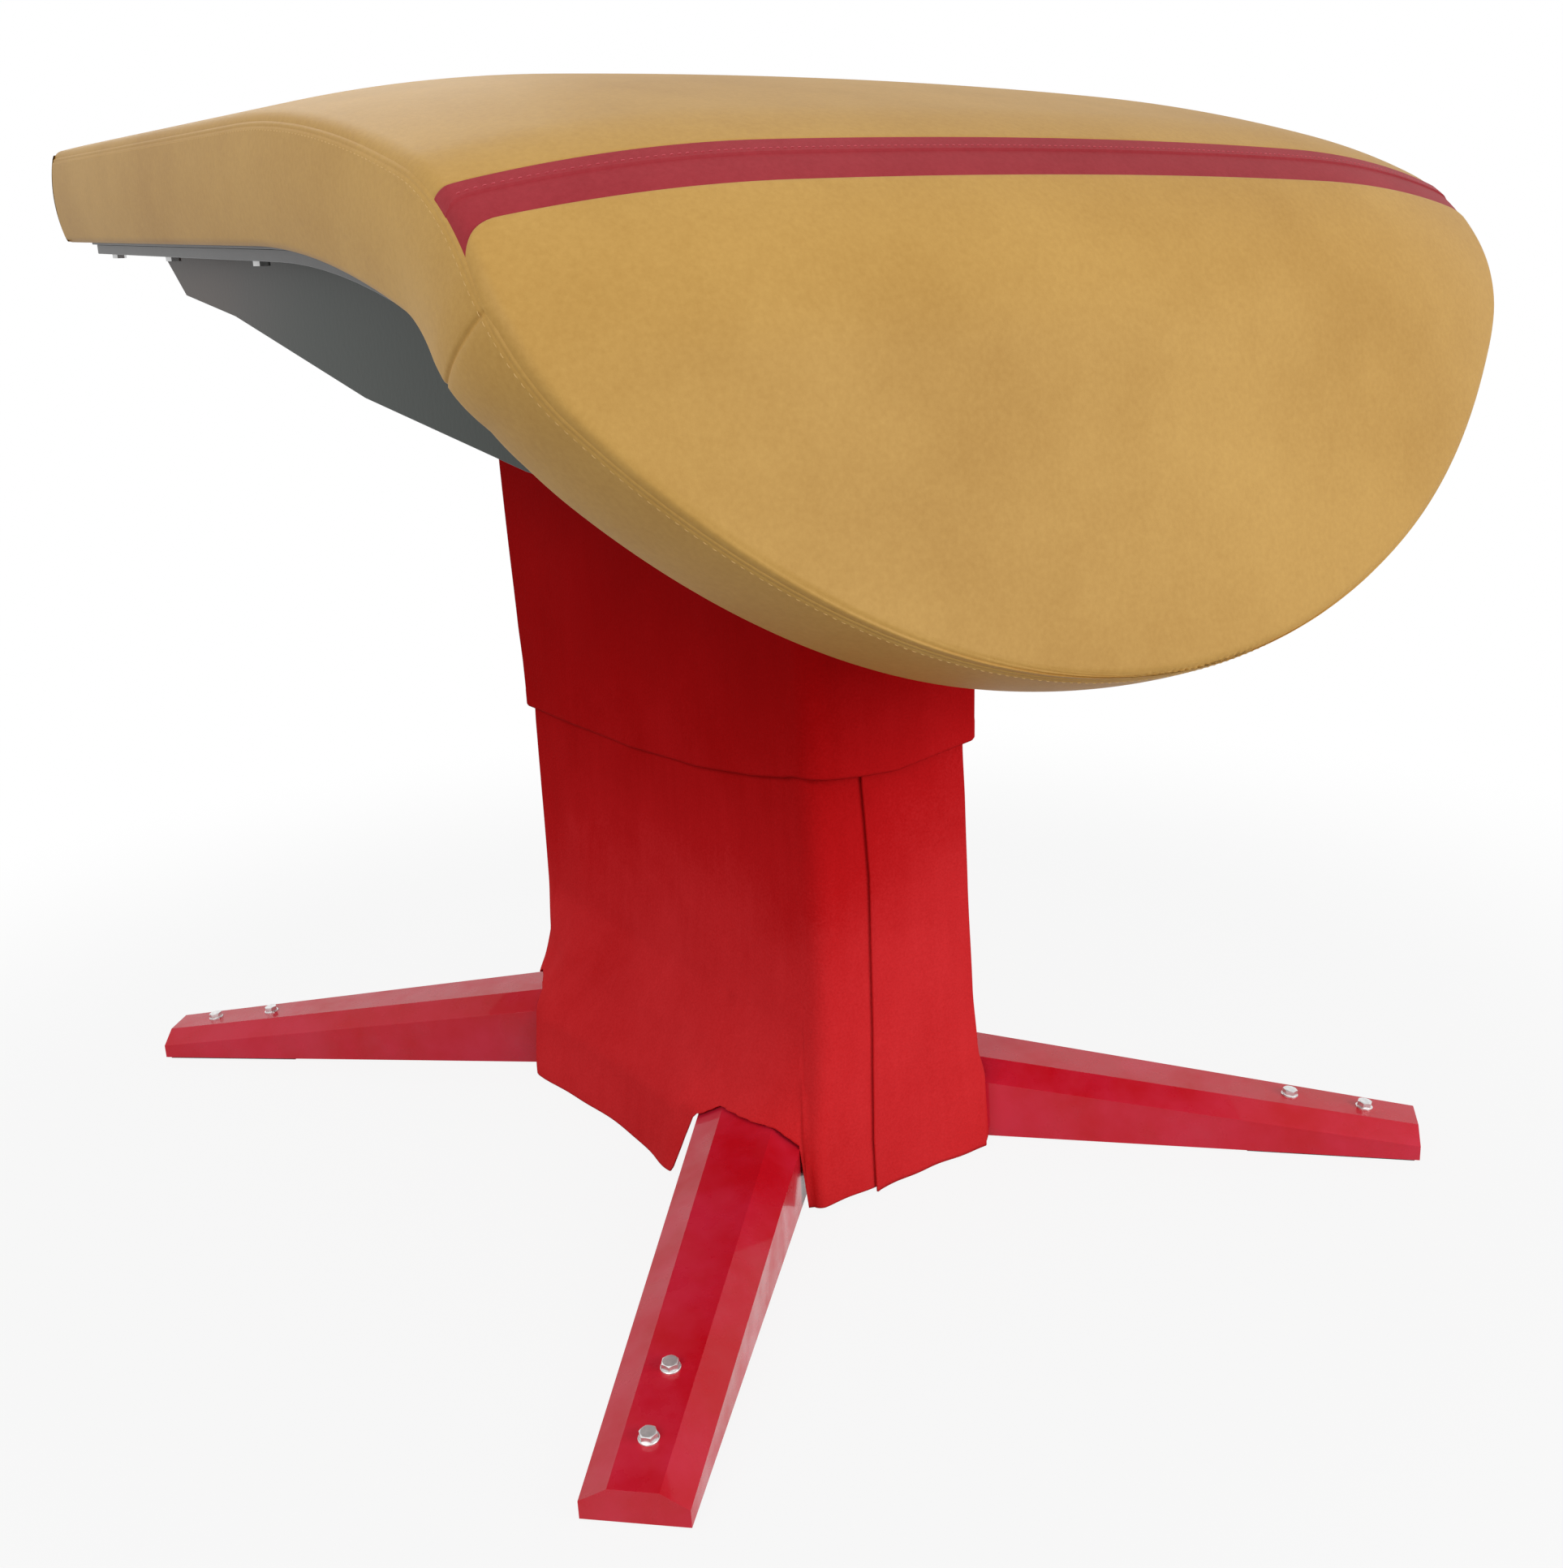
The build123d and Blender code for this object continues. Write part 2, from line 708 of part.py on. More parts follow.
# Gas spring: tube with its lower eye, gland in the tube's mouth, rod with piston and upper eye
foot_eye = spring_eye(foot_pin_z)
head_eye = spring_eye(head_pin_z)
with BuildPart() as gas_spring_tube:
    with BuildSketch(Plane.XY.offset(foot_pin_z + eye_radius - 1)):
        with Locations((0, stand_y)):
            Circle(spring_radius)
    extrude(amount=spring_top - foot_pin_z - eye_radius + 1)
    with BuildSketch(Plane.XY.offset(spring_bottom + 4)):
        with Locations((0, stand_y)):
            Circle(spring_bore)
    extrude(amount=spring_top - spring_bottom, mode=Mode.SUBTRACT)
    add(foot_eye)
with BuildPart() as gas_spring_gland:
    with BuildSketch(Plane.XY.offset(spring_top - gland_height)):
        with Locations((0, stand_y)):
            Circle(spring_bore - spring_fit)
            Circle(spring_rod_radius + spring_fit, mode=Mode.SUBTRACT)
    extrude(amount=gland_height)
    with BuildSketch(Plane.XY.offset(spring_top)):
        with Locations((0, stand_y)):
            Circle(spring_radius)
            Circle(spring_rod_radius + spring_fit, mode=Mode.SUBTRACT)
    extrude(amount=3)
with BuildPart() as gas_spring_rod:
    with BuildSketch(Plane.XY.offset(piston_z)):
        with Locations((0, stand_y)):
            Circle(spring_bore - spring_fit)
    extrude(amount=piston_height)
    with BuildSketch(Plane.XY.offset(piston_z)):
        with Locations((0, stand_y)):
            Circle(spring_rod_radius)
    extrude(amount=head_pin_z - eye_radius + 1 - piston_z)
    add(head_eye)

# Index plunger: threaded housing on the front post, pin, and the knob that pulls it
housing_face = -(front_post_y - outer_post / 2)
plunger_tip = -(front_post_y - inner_post / 2) + plunger_tip_gap
knob_face = housing_face + housing_length + plunger_throw + 1
with BuildPart() as lock_housing:
    with BuildSketch(Plane.XZ.offset(housing_face)):
        with Locations((0, plunger_z)):
            Circle(housing_radius)
            Circle(plunger_radius + plunger_fit, mode=Mode.SUBTRACT)
    extrude(amount=housing_length)
    chamfer(edges().group_by(Axis.Y)[0].sort_by(SortBy.RADIUS)[-1], 2)
with BuildPart() as lock_plunger:
    with BuildSketch(Plane.XZ.offset(plunger_tip)):
        with Locations((0, plunger_z)):
            Circle(plunger_radius)
    extrude(amount=knob_face + knob_length / 2 - plunger_tip)
    chamfer(edges().group_by(Axis.Y)[-1], 1.5)
with BuildPart() as lock_knob:
    with BuildSketch(Plane.XZ.offset(knob_face)):
        with Locations((0, plunger_z)):
            Circle(knob_radius)
            Circle(plunger_radius, mode=Mode.SUBTRACT)
    extrude(amount=knob_length / 2)
    with BuildSketch(Plane.XZ.offset(knob_face + knob_length / 2)):
        with Locations((0, plunger_z)):
            Circle(knob_radius)
    extrude(amount=knob_length / 2)
    fillet(edges().group_by(Axis.Y)[0], 4)

# Hub beam: a square-ended box section with welded caps
with BuildPart() as base_beam:
    with BuildSketch(Plane.XZ.offset(-stand_y - beam_length / 2)):
        with Locations((0, beam_bottom + beam_height / 2)):
            Rectangle(2 * beam_half_width, beam_height)
            Rectangle(2 * (beam_half_width - beam_wall), beam_height - 2 * beam_wall, mode=Mode.SUBTRACT)
    extrude(amount=beam_length)
with BuildPart() as beam_end_caps:
    for cap_y in (stand_y - beam_length / 2 - beam_wall, stand_y + beam_length / 2):
        with BuildSketch(Plane.XZ.offset(-cap_y)):
            with Locations((0, beam_bottom + beam_height / 2)):
                RectangleRounded(2 * beam_half_width, beam_height, beam_wall)
        extrude(amount=-beam_wall)


def leg_section(from_tip, inset, floor):
    """Chamfered section of a leg at a distance from its tip, inset by a wall."""
    half = leg_tip_half_width + leg_half_width_growth * from_tip - inset
    half_top = leg_tip_half_top + leg_half_top_growth * from_tip - inset * 0.35
    side = leg_tip_side_height + leg_side_growth * from_tip - inset * 0.7
    height = leg_tip_height + leg_height_growth * from_tip - inset
    with BuildSketch() as section:
        with BuildLine():
            Polyline(
                (-half, floor),
                (-half, side),
                (-half_top, height),
                (half_top, height),
                (half, side),
                (half, floor),
                close=True,
            )
        make_face()
    return section.sketch


def leg_plane(side, end, from_tip):
    """Plane square to a leg at a distance from its tip, facing the hub."""
    angle = radians(front_leg_angle if end < 0 else rear_leg_angle)
    out = Vector(side * sin(angle), end * cos(angle), 0)
    foot = Vector(0, end * leg_cross_y, 0) + out * (leg_reach - from_tip)
    return Plane(origin=foot, x_dir=(out.Y, -out.X, 0), z_dir=-out)


def leg_loft(side, end, first, last, inset, floor):
    """A stretch of leg between two distances from the tip."""
    with BuildPart() as form:
        for from_tip in (first, last):
            with BuildSketch(leg_plane(side, end, from_tip)):
                add(leg_section(from_tip, inset, floor))
        loft(ruled=True)
    return form.part


def bolt_seat(side, end, from_tip):
    """Plane on a leg's top face, square to it."""
    level = leg_plane(side, end, from_tip)
    height = leg_tip_height + leg_height_growth * from_tip
    up = Vector(0, 0, 1) - level.z_dir * leg_height_growth
    return Plane(origin=level.origin + Vector(0, 0, height), x_dir=level.x_dir, z_dir=up)


root = beam_half_width + flange
leg_span = leg_reach + leg_overrun


def root_half_length(end):
    """Half the length of a leg's slanting cut where it meets its root flange."""
    angle = radians(front_leg_angle if end < 0 else rear_leg_angle)
    from_tip = leg_reach - root / sin(angle)
    return (leg_tip_half_width + leg_half_width_growth * from_tip) / sin(angle)


def leg_form(side, end):
    """Folded, chamfered steel leg with a closed tip, open below, on a bolted root flange."""
    outer = leg_loft(side, end, 0, leg_span, 0, leg_lift)
    inner = leg_loft(side, end, leg_wall, leg_span, leg_wall, leg_lift - leg_wall)
    angle = radians(front_leg_angle if end < 0 else rear_leg_angle)
    root_y = end * (leg_cross_y + root / tan(angle))
    root_flange = root_half_length(end) + root_flange_edge
    with BuildPart() as leg:
        add(outer)
        add(inner, mode=Mode.SUBTRACT)
        with Locations((side * (root / 2 - leg_reach / 2), 0, 0)):
            Box(leg_reach + root, 4 * leg_reach, 4 * leg_reach, mode=Mode.SUBTRACT)
        with BuildSketch(Plane.YZ.offset(side * root)):
            with Locations((root_y, beam_bottom + beam_height / 2)):
                Rectangle(2 * root_flange, beam_height)
        extrude(amount=-side * flange)
        for from_tip in foot_bolt_places:
            with BuildSketch(bolt_seat(side, end, from_tip)):
                Circle(foot_bolt_radius + seat_gap)
            extrude(amount=foot_bolt_length, both=True, mode=Mode.SUBTRACT)
    return leg.part


corners = {"front_left": (-1, -1), "front_right": (1, -1), "rear_left": (-1, 1), "rear_right": (1, 1)}
legs = {f"leg_{corner}": leg_form(side, end) for corner, (side, end) in corners.items()}

# Bolts that hold the root flanges to the sides of the hub beam
with BuildPart() as leg_root_bolts:
    for side, end in corners.values():
        angle = radians(front_leg_angle if end < 0 else rear_leg_angle)
        root_y = end * (leg_cross_y + root / tan(angle))
        spread = 2 * root_half_length(end) + root_flange_edge
        with BuildSketch(Plane.YZ.offset(side * root)):
            with Locations((root_y, beam_bottom + beam_height / 2)):
                with GridLocations(spread, beam_height * 0.6, 2, 2):
                    RegularPolygon(small_head_width / 2, 6, major_radius=False)
        extrude(amount=side * small_head_height)

# Rubber foot blocks inside the leg tips; they stand a little below the legs
foot_forms = []
for side, end in corners.values():
    gap = leg_wall + seat_gap
    foot_forms.append(leg_loft(side, end, gap, foot_length, gap, -leg_lift))
with BuildPart() as foot_blocks:
    for foot in foot_forms:
        add(foot)
    for side, end in corners.values():
        for from_tip in foot_bolt_places:
            with BuildSketch(bolt_seat(side, end, from_tip)):
                Circle(foot_bolt_radius)
            extrude(amount=-foot_bolt_length, mode=Mode.SUBTRACT)
    split(bisect_by=Plane.XY, keep=Keep.TOP)

# Hexagon bolts with washers that hold the foot blocks
with BuildPart() as foot_washers:
    for side, end in corners.values():
        for from_tip in foot_bolt_places:
            with BuildSketch(bolt_seat(side, end, from_tip)):
                Circle(washer_radius)
                Circle(foot_bolt_radius, mode=Mode.SUBTRACT)
            extrude(amount=washer_thickness)
with BuildPart() as foot_bolts:
    for side, end in corners.values():
        for from_tip in foot_bolt_places:
            seat = bolt_seat(side, end, from_tip)
            with BuildSketch(seat.offset(-foot_bolt_length)):
                Circle(foot_bolt_radius)
            extrude(amount=foot_bolt_length + washer_thickness)
            with BuildSketch(seat.offset(washer_thickness)):
                RegularPolygon(foot_head_width / 2, 6, major_radius=False)
            extrude(amount=foot_head_height)


def sleeve_section(half_x, bulge_x, half_y):
    """Plan of a sleeve: straight ends and sides that may bow outwards."""
    with BuildSketch() as section:
        with BuildLine():
            front, back = stand_y - half_y, stand_y + half_y
            Line((-half_x, front), (half_x, front))
            ThreePointArc((half_x, front), (bulge_x, stand_y), (half_x, back))
            Line((half_x, back), (-half_x, back))
            ThreePointArc((-half_x, back), (-bulge_x, stand_y), (-half_x, front))
        make_face()
    return section.sketch


def sleeve_form(levels, inset):
    """Loft through plans given as height, half width at the corners, and half width midway."""
    with BuildPart() as form:
        for z, half_x, bulge_x, half_y in levels:
            with BuildSketch(Plane.XY.offset(z)):
                add(sleeve_section(half_x - inset, bulge_x - inset, half_y - inset))
        loft(ruled=True)
    return form.part


bow = 1.0
lower_levels = [
    (lower_sleeve_top, lower_sleeve_half_x - bow, lower_sleeve_half_x, lower_sleeve_half_y),
    (lower_straight_z, lower_sleeve_half_x - bow, lower_sleeve_half_x, lower_sleeve_half_y),
    (lower_waist_z, lower_waist_half_x - bow, lower_waist_half_x, lower_sleeve_half_y),
    (lower_knee_z, lower_corner_half_x, lower_knee_bulge, lower_sleeve_half_y),
    (lower_hem_z, lower_corner_half_x, lower_hem_bulge, lower_sleeve_half_y),
]
lower_outer = sleeve_form(lower_levels, 0)
lower_inner = sleeve_form(lower_levels, sleeve_cloth)
notches = [
    leg_loft(side, end, leg_reach * 0.3, leg_reach, -notch_clearance, -leg_lift)
    for side, end in corners.values()
]

# Lower sleeve: hangs round the stand, flares over the leg roots and is notched round each leg
with BuildPart() as lower_sleeve:
    add(lower_outer)
    add(lower_inner, mode=Mode.SUBTRACT)
    for notch in notches:
        add(notch, mode=Mode.SUBTRACT)

# Steel frame at the top of the stand that the lower sleeve hangs from, with a tab to each post
frame_levels = [
    (lower_sleeve_top - sleeve_frame_drop - sleeve_frame_height, *lower_levels[0][1:]),
    (lower_sleeve_top - sleeve_frame_drop, *lower_levels[0][1:]),
]
frame_outer = sleeve_form(frame_levels, sleeve_cloth + seat_gap)
frame_inner = sleeve_form(frame_levels, sleeve_cloth + seat_gap + sleeve_rail_wall)
tab_length = lower_sleeve_half_x - sleeve_cloth - seat_gap - sleeve_rail_wall / 2 - outer_post / 2
with BuildPart() as sleeve_frame:
    add(frame_outer)
    add(frame_inner, mode=Mode.SUBTRACT)
    with BuildSketch(Plane.XY.offset(frame_levels[0][0])):
        with Locations((0, stand_y)):
            with GridLocations(outer_post + tab_length, post_spread, 2, 2):
                Rectangle(tab_length, outer_post / 2)
    extrude(amount=outer_post_top - frame_levels[0][0])

# Closing flap down the front of the lower sleeve
flap_y = -stand_y + lower_sleeve_half_y + seat_gap
with BuildPart() as closing_flap:
    with BuildSketch(Plane.XZ.offset(flap_y)):
        with BuildLine():
            Polyline(
                (flap_left, flap_bottom),
                (flap_left, flap_top),
                (flap_right, flap_top),
                (flap_right, flap_bottom + 2),
                close=True,
            )
        make_face()
    extrude(amount=flap_thickness)

# Upper sleeve: hangs from a steel rail under the belly, over the top of the lower sleeve
sleeve_levels = [
    (upper_hem_z, upper_sleeve_half_x - bow, upper_sleeve_half_x, upper_sleeve_half_y),
    (rear_seam_z, upper_sleeve_half_x - bow, upper_sleeve_half_x, upper_sleeve_half_y),
]
rail_top = [(y, z + keel_wall + sleeve_rail_height) for y, z in keel_line()]
rail_foot = [(y, z + keel_wall) for y, z in keel_line()]
ceiling = rear_seam_z + pad_thickness
floor_z = lower_sleeve_top / 2
above_rail = side_slab(
    [*rail_top, (keel_front_foot[0], ceiling), (keel_rear_foot[0], ceiling)],
    -keel_half_width,
    keel_half_width,
)
below_rail = side_slab(
    [*rail_foot, (keel_front_foot[0], floor_z), (keel_rear_foot[0], floor_z)],
    -keel_half_width,
    keel_half_width,
)
hem_front = stand_y - upper_sleeve_half_y - sleeve_room
hem_mid = ((hem_front + upper_hem_level_y) / 2, upper_hem_z + upper_hem_dip)
hem_level = (upper_hem_level_y, upper_hem_z)
with BuildPart() as hem_space:
    with BuildSketch(Plane.YZ.offset(-keel_half_width)):
        with BuildLine():
            Line((hem_front, 0), (hem_front, upper_hem_front_z))
            ThreePointArc((hem_front, upper_hem_front_z), hem_mid, hem_level)
            Line(hem_level, (upper_hem_level_y, 0))
            Line((upper_hem_level_y, 0), (hem_front, 0))
        make_face()
    extrude(amount=2 * keel_half_width)
sleeve_outer = sleeve_form(sleeve_levels, 0)
sleeve_inner = sleeve_form(sleeve_levels, sleeve_cloth)
rail_outer = sleeve_form(sleeve_levels, -seat_gap - sleeve_rail_wall)
rail_inner = sleeve_form(sleeve_levels, -seat_gap)
with BuildPart() as upper_sleeve:
    add(sleeve_outer)
    add(sleeve_inner, mode=Mode.SUBTRACT)
    add(above_rail, mode=Mode.SUBTRACT)
    add(hem_space.part, mode=Mode.SUBTRACT)
with BuildPart() as sleeve_rail:
    add(rail_outer)
    add(rail_inner, mode=Mode.SUBTRACT)
    add(above_rail, mode=Mode.SUBTRACT)
    add(below_rail, mode=Mode.SUBTRACT)

pieces = {
    "pad_board": pad_board,
    "foam_pad": foam_pad,
    "cover_deck": cover_deck,
    "cover_stripe": cover_stripe,
    "cover_tongue": cover_tongue,
    "band_left": band_left,
    "band_right": band_right,
    "band_rear": band_rear,
    "band_tongue": band_tongue,
    "base_plate": base_plate,
    "plate_rails": plate_rails,
    "plate_bolts": plate_bolts,
    "keel_left": keel_left,
    "keel_right": keel_right,
    "keel_rear": keel_rear,
    "keel_belly": keel_belly,
    "saddle_front": saddle_front,
    "saddle_rear": saddle_rear,
    "inner_post_front": inner_post_front,
    "inner_post_rear": inner_post_rear,
    "outer_post_front": outer_post_front,
    "outer_post_rear": outer_post_rear,
    "upper_glide_front": upper_glide_front,
    "upper_glide_rear": upper_glide_rear,
    "lower_glide_front": lower_glide_front,
    "lower_glide_rear": lower_glide_rear,
    "post_bolts": post_bolts,
    "tie_bar": tie_bar,
    "spring_head_pin": spring_head_pin,
    "spring_foot_pin": spring_foot_pin,
    "spring_fork": spring_fork,
    "gas_spring_tube": gas_spring_tube,
    "gas_spring_gland": gas_spring_gland,
    "gas_spring_rod": gas_spring_rod,
    "lock_housing": lock_housing,
    "lock_plunger": lock_plunger,
    "lock_knob": lock_knob,
    "base_beam": base_beam,
    "beam_end_caps": beam_end_caps,
    "foot_blocks": foot_blocks,
    "foot_washers": foot_washers,
    "foot_bolts": foot_bolts,
    "lower_sleeve": lower_sleeve,
    "closing_flap": closing_flap,
    "upper_sleeve": upper_sleeve,
    "sleeve_rail": sleeve_rail,
    "sleeve_frame": sleeve_frame,
    "leg_root_bolts": leg_root_bolts,
}
for label, piece in pieces.items():
    piece.part.label = label
    export_step(piece.part, f"parts/{label}.step")
for label, leg in legs.items():
    leg.label = label
    export_step(leg, f"parts/{label}.step")
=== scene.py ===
"""Looks of the vaulting table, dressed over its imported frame. Metres, +Z up, run-up at -Y."""
from math import atan2, cos, hypot, pi, radians, sin, sqrt, tan

import bmesh
import bpy
import numpy as np
from mathutils import Matrix, Vector


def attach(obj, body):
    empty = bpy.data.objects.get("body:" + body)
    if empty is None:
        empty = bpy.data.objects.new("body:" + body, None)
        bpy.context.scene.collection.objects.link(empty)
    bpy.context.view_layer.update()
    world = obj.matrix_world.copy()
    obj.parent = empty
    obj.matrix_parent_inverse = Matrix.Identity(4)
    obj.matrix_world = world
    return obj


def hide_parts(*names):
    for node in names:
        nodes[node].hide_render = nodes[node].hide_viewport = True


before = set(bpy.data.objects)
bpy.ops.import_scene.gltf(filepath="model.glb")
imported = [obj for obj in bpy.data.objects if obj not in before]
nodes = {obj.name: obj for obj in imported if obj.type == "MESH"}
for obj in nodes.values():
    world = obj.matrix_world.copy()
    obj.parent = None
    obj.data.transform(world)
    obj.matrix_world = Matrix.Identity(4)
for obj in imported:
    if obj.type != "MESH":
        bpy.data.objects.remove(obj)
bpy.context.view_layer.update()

# Camera: stands at the left of the run-up, a little below the body's top, and looks down at the
# table. Its place and turn were worked out from the legs on the floor and the body's symmetry.
photo_width = 1926
camera_place = Vector((-0.8534, -1.45278, 0.8354))
camera_yaw = 0.56857
camera_pitch = 0.2841
camera_roll = -0.05128
camera_focal = 1957.03
sensor = 36.0

look = Vector((sin(camera_yaw) * cos(camera_pitch), cos(camera_yaw) * cos(camera_pitch), -sin(camera_pitch)))
level_right = look.cross(Vector((0, 0, 1))).normalized()
level_up = level_right.cross(look)
right = level_right * cos(camera_roll) + level_up * sin(camera_roll)
up = level_up * cos(camera_roll) - level_right * sin(camera_roll)
camera_data = bpy.data.cameras.new("photo_camera")
camera_data.sensor_fit = "HORIZONTAL"
camera_data.sensor_width = sensor
camera_data.lens = camera_focal * sensor / photo_width
camera = bpy.data.objects.new("photo_camera", camera_data)
camera.matrix_world = Matrix.Translation(camera_place) @ Matrix((right, up, -look)).transposed().to_4x4()
bpy.context.scene.collection.objects.link(camera)
bpy.context.scene.camera = camera
bpy.context.scene.view_settings.view_transform = "Standard"


# Legs: four folded steel legs, chamfered along the top and closed by a plate at the tip, bolted to
# a hub beam under the stand. They are sprayed in glossy red enamel, which catches light on each fold.
class Shade:
    """A value or colour in a material's nodes; operators on it add Math nodes."""

    def __init__(self, tree, socket):
        self.tree, self.socket = tree, socket

    def maths(self, operation, *others):
        return add_node(self.tree, "ShaderNodeMath", {"operation": operation}, [self, *others])

    def __add__(self, other):
        return self.maths("ADD", other)

    def __mul__(self, other):
        return self.maths("MULTIPLY", other)

    def __sub__(self, other):
        return self.maths("SUBTRACT", other)

    def ramp(self, *stops):
        """Colour that runs through the stops, each a place from 0 to 1 and a colour or a grey."""
        stops = [(place, stop if isinstance(stop, tuple) else (stop,) * 3) for place, stop in stops]
        return add_node(self.tree, "ShaderNodeValToRGB", {"stops": stops}, [self])


def add_node(tree, kind, settings, values, output=0):
    """Adds a node, sets its settings, then fills its sockets with numbers, colours or links."""
    node = tree.nodes.new(kind)
    for name, setting in settings.items():
        if name == "stops":
            while len(node.color_ramp.elements) < len(setting):
                node.color_ramp.elements.new(0.5)
            for element, (place, colour) in zip(node.color_ramp.elements, setting):
                element.position, element.color = place, (*colour, 1)
        else:
            setattr(node, name, setting)
    for name, value in values.items() if isinstance(values, dict) else enumerate(values):
        socket = node.inputs[name]
        if isinstance(value, Shade):
            tree.links.new(value.socket, socket)
        elif isinstance(value, tuple) and len(value) == 3 and socket.type == "RGBA":
            socket.default_value = (*value, 1)
        else:
            socket.default_value = value
    return Shade(tree, node.outputs[output])


def tone(red, green, blue):
    """A colour as it looks on screen, out of 255, turned to the linear values that shaders use."""
    share = np.array([red, green, blue]) / 255
    curved = ((share + 0.055) / 1.055) ** 2.4
    return tuple(float(v) for v in np.where(share <= 0.04045, share / 12.92, curved))


class Finish:
    """A material: its tree, its place on the object, and its one shader."""

    def __init__(self, name, **fixed):
        self.material = bpy.data.materials.new(name)
        self.material.use_nodes = True
        self.tree = self.material.node_tree
        self.shader = self.tree.nodes["Principled BSDF"]
        for socket, value in fixed.items():
            self.shader.inputs[socket.replace("_", " ")].default_value = value
        self.place = self.node("ShaderNodeTexCoord", {}, {}, "Object")

    def node(self, kind, settings, values, output=0):
        return add_node(self.tree, kind, settings, values, output)

    def noise(self, scale, detail=2.0, stretch=None, roughness=0.5):
        """Cloudy noise of a scale in waves per metre, stretched along an axis if wanted."""
        place = self.place
        if stretch:
            place = self.node("ShaderNodeMapping", {}, {"Vector": place, "Scale": stretch})
        values = {"Vector": place, "Scale": scale, "Detail": detail, "Roughness": roughness}
        return self.node("ShaderNodeTexNoise", {}, values)

    def split(self):
        """The three parts of the place on the object."""
        return [self.node("ShaderNodeSeparateXYZ", {}, {0: self.place}, part) for part in range(3)]

    def between(self, value, low, high):
        """0 where the value is at low or below, 1 at high or above, eased in between."""
        values = {"Value": value, "From Min": low, "From Max": high}
        return self.node("ShaderNodeMapRange", {"interpolation_type": "SMOOTHSTEP"}, values)

    def feed(self, socket, value):
        self.tree.links.new(value.socket, self.shader.inputs[socket])

    def tint(self, value, *stops):
        """Base colour that runs through the stops: places, and colours as they look on screen."""
        self.feed("Base Color", value.ramp(*[(place, tone(*colour)) for place, colour in stops]))

    def bump(self, height, distance):
        self.feed("Normal", self.node("ShaderNodeBump", {}, {"Height": height, "Distance": distance}))


def link(name, mesh):
    """A mesh made an object of the scene, smoothly shaded."""
    mesh.shade_smooth()
    piece = bpy.data.objects.new(name, mesh)
    bpy.context.scene.collection.objects.link(piece)
    return piece


def dress(piece, finish, body, slot, *replaced):
    """Gives a piece its finish and the body it rides on, and hides the nodes it stands for; slot is not used.
    """
    piece.data.materials.clear()
    piece.data.materials.append(finish.material)
    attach(piece, body)
    if replaced:
        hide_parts(*replaced)
    return piece


def paint(finish, *names):
    """Gives CAD nodes that stay as they are their finish."""
    for name in names:
        for holder in nodes[name].material_slots:
            holder.material = finish.material


fold_angle = radians(12)


def rounded_copy(node, width, segments=3):
    """A CAD node's mesh merged into one skin, flat faces joined, sharp edges turned by a small arc."""
    form = bmesh.new()
    form.from_mesh(nodes[node].data)
    bmesh.ops.remove_doubles(form, verts=form.verts, dist=1e-5)
    bmesh.ops.dissolve_limit(form, angle_limit=radians(0.4), verts=form.verts, edges=form.edges)
    mesh = bpy.data.meshes.new(node + "_rounded")
    form.to_mesh(mesh)
    form.free()
    piece = link(node + "_rounded", mesh)
    mesh.set_sharp_from_angle(angle=fold_angle)
    bevel = piece.modifiers.new("rounded_edges", "BEVEL")
    bevel.width = width
    bevel.segments = segments
    bevel.limit_method = "ANGLE"
    bevel.angle_limit = fold_angle
    bevel.harden_normals = True
    return piece


enamel = Finish("red_enamel", Specular_IOR_Level=0.2, Coat_Weight=0.25, Coat_Roughness=0.03)
enamel.tint(enamel.noise(9.0, 6.0, None, 0.6), (0.38, (206, 14, 32)), (0.62, (216, 38, 64)))
enamel.feed("Roughness", enamel.noise(16.0, 6.0, None, 0.65).ramp((0.35, 0.16), (0.65, 0.46)))
enamel.bump(enamel.noise(90.0, 3.0), 0.00008)
leg_edge = 0.0020
corners = {"front_left": (-1, -1), "front_right": (1, -1), "rear_left": (-1, 1), "rear_right": (1, 1)}
for corner in corners:
    dress(rounded_copy("leg_" + corner, leg_edge), enamel, "base", "red_steel", "leg_" + corner)

# Foot bolts: plated M8 hexagon bolts on washers, two on the top of each leg near its tip. They hold
# the rubber foot blocks, on which the legs stand.
leg_reach = 0.660
leg_cross = 0.091
leg_turn = {-1: radians(43.0), 1: radians(51.0)}
tip_half, tip_top, tip_side, tip_height = 0.0424, 0.0198, 0.0182, 0.0307
grow_half, grow_top, grow_side, grow_height = 0.0294, 0.018, 0.1069, 0.1133
bolt_places = (0.050, 0.123)
washer_outer, washer_inner, washer_thick, washer_bevel = 0.0084, 0.0040, 0.0016, 0.0004
head_flat, head_height, head_chamfer = 0.0065, 0.0053, 0.93
ring_count = 24


def many_mesh(name, points, faces):
    """Makes one mesh of many like shapes: points is shapes by corners by 3, faces are of one shape."""
    shapes, count, _ = points.shape
    faces = np.asarray(faces)
    every = (faces[None] + count * np.arange(shapes)[:, None, None]).reshape(-1, faces.shape[1])
    mesh = bpy.data.meshes.new(name)
    mesh.from_pydata(points.reshape(-1, 3), [], every)
    return link(name, mesh)


def ring_faces(rings, count):
    """Quads between neighbouring rings of a turned shape, each ring of the same number of points."""
    at = np.arange(rings * count).reshape(rings, count)
    after = np.roll(at, -1, axis=1)
    return np.stack([at[:-1], after[:-1], after[1:], at[1:]], axis=-1).reshape(-1, 4)


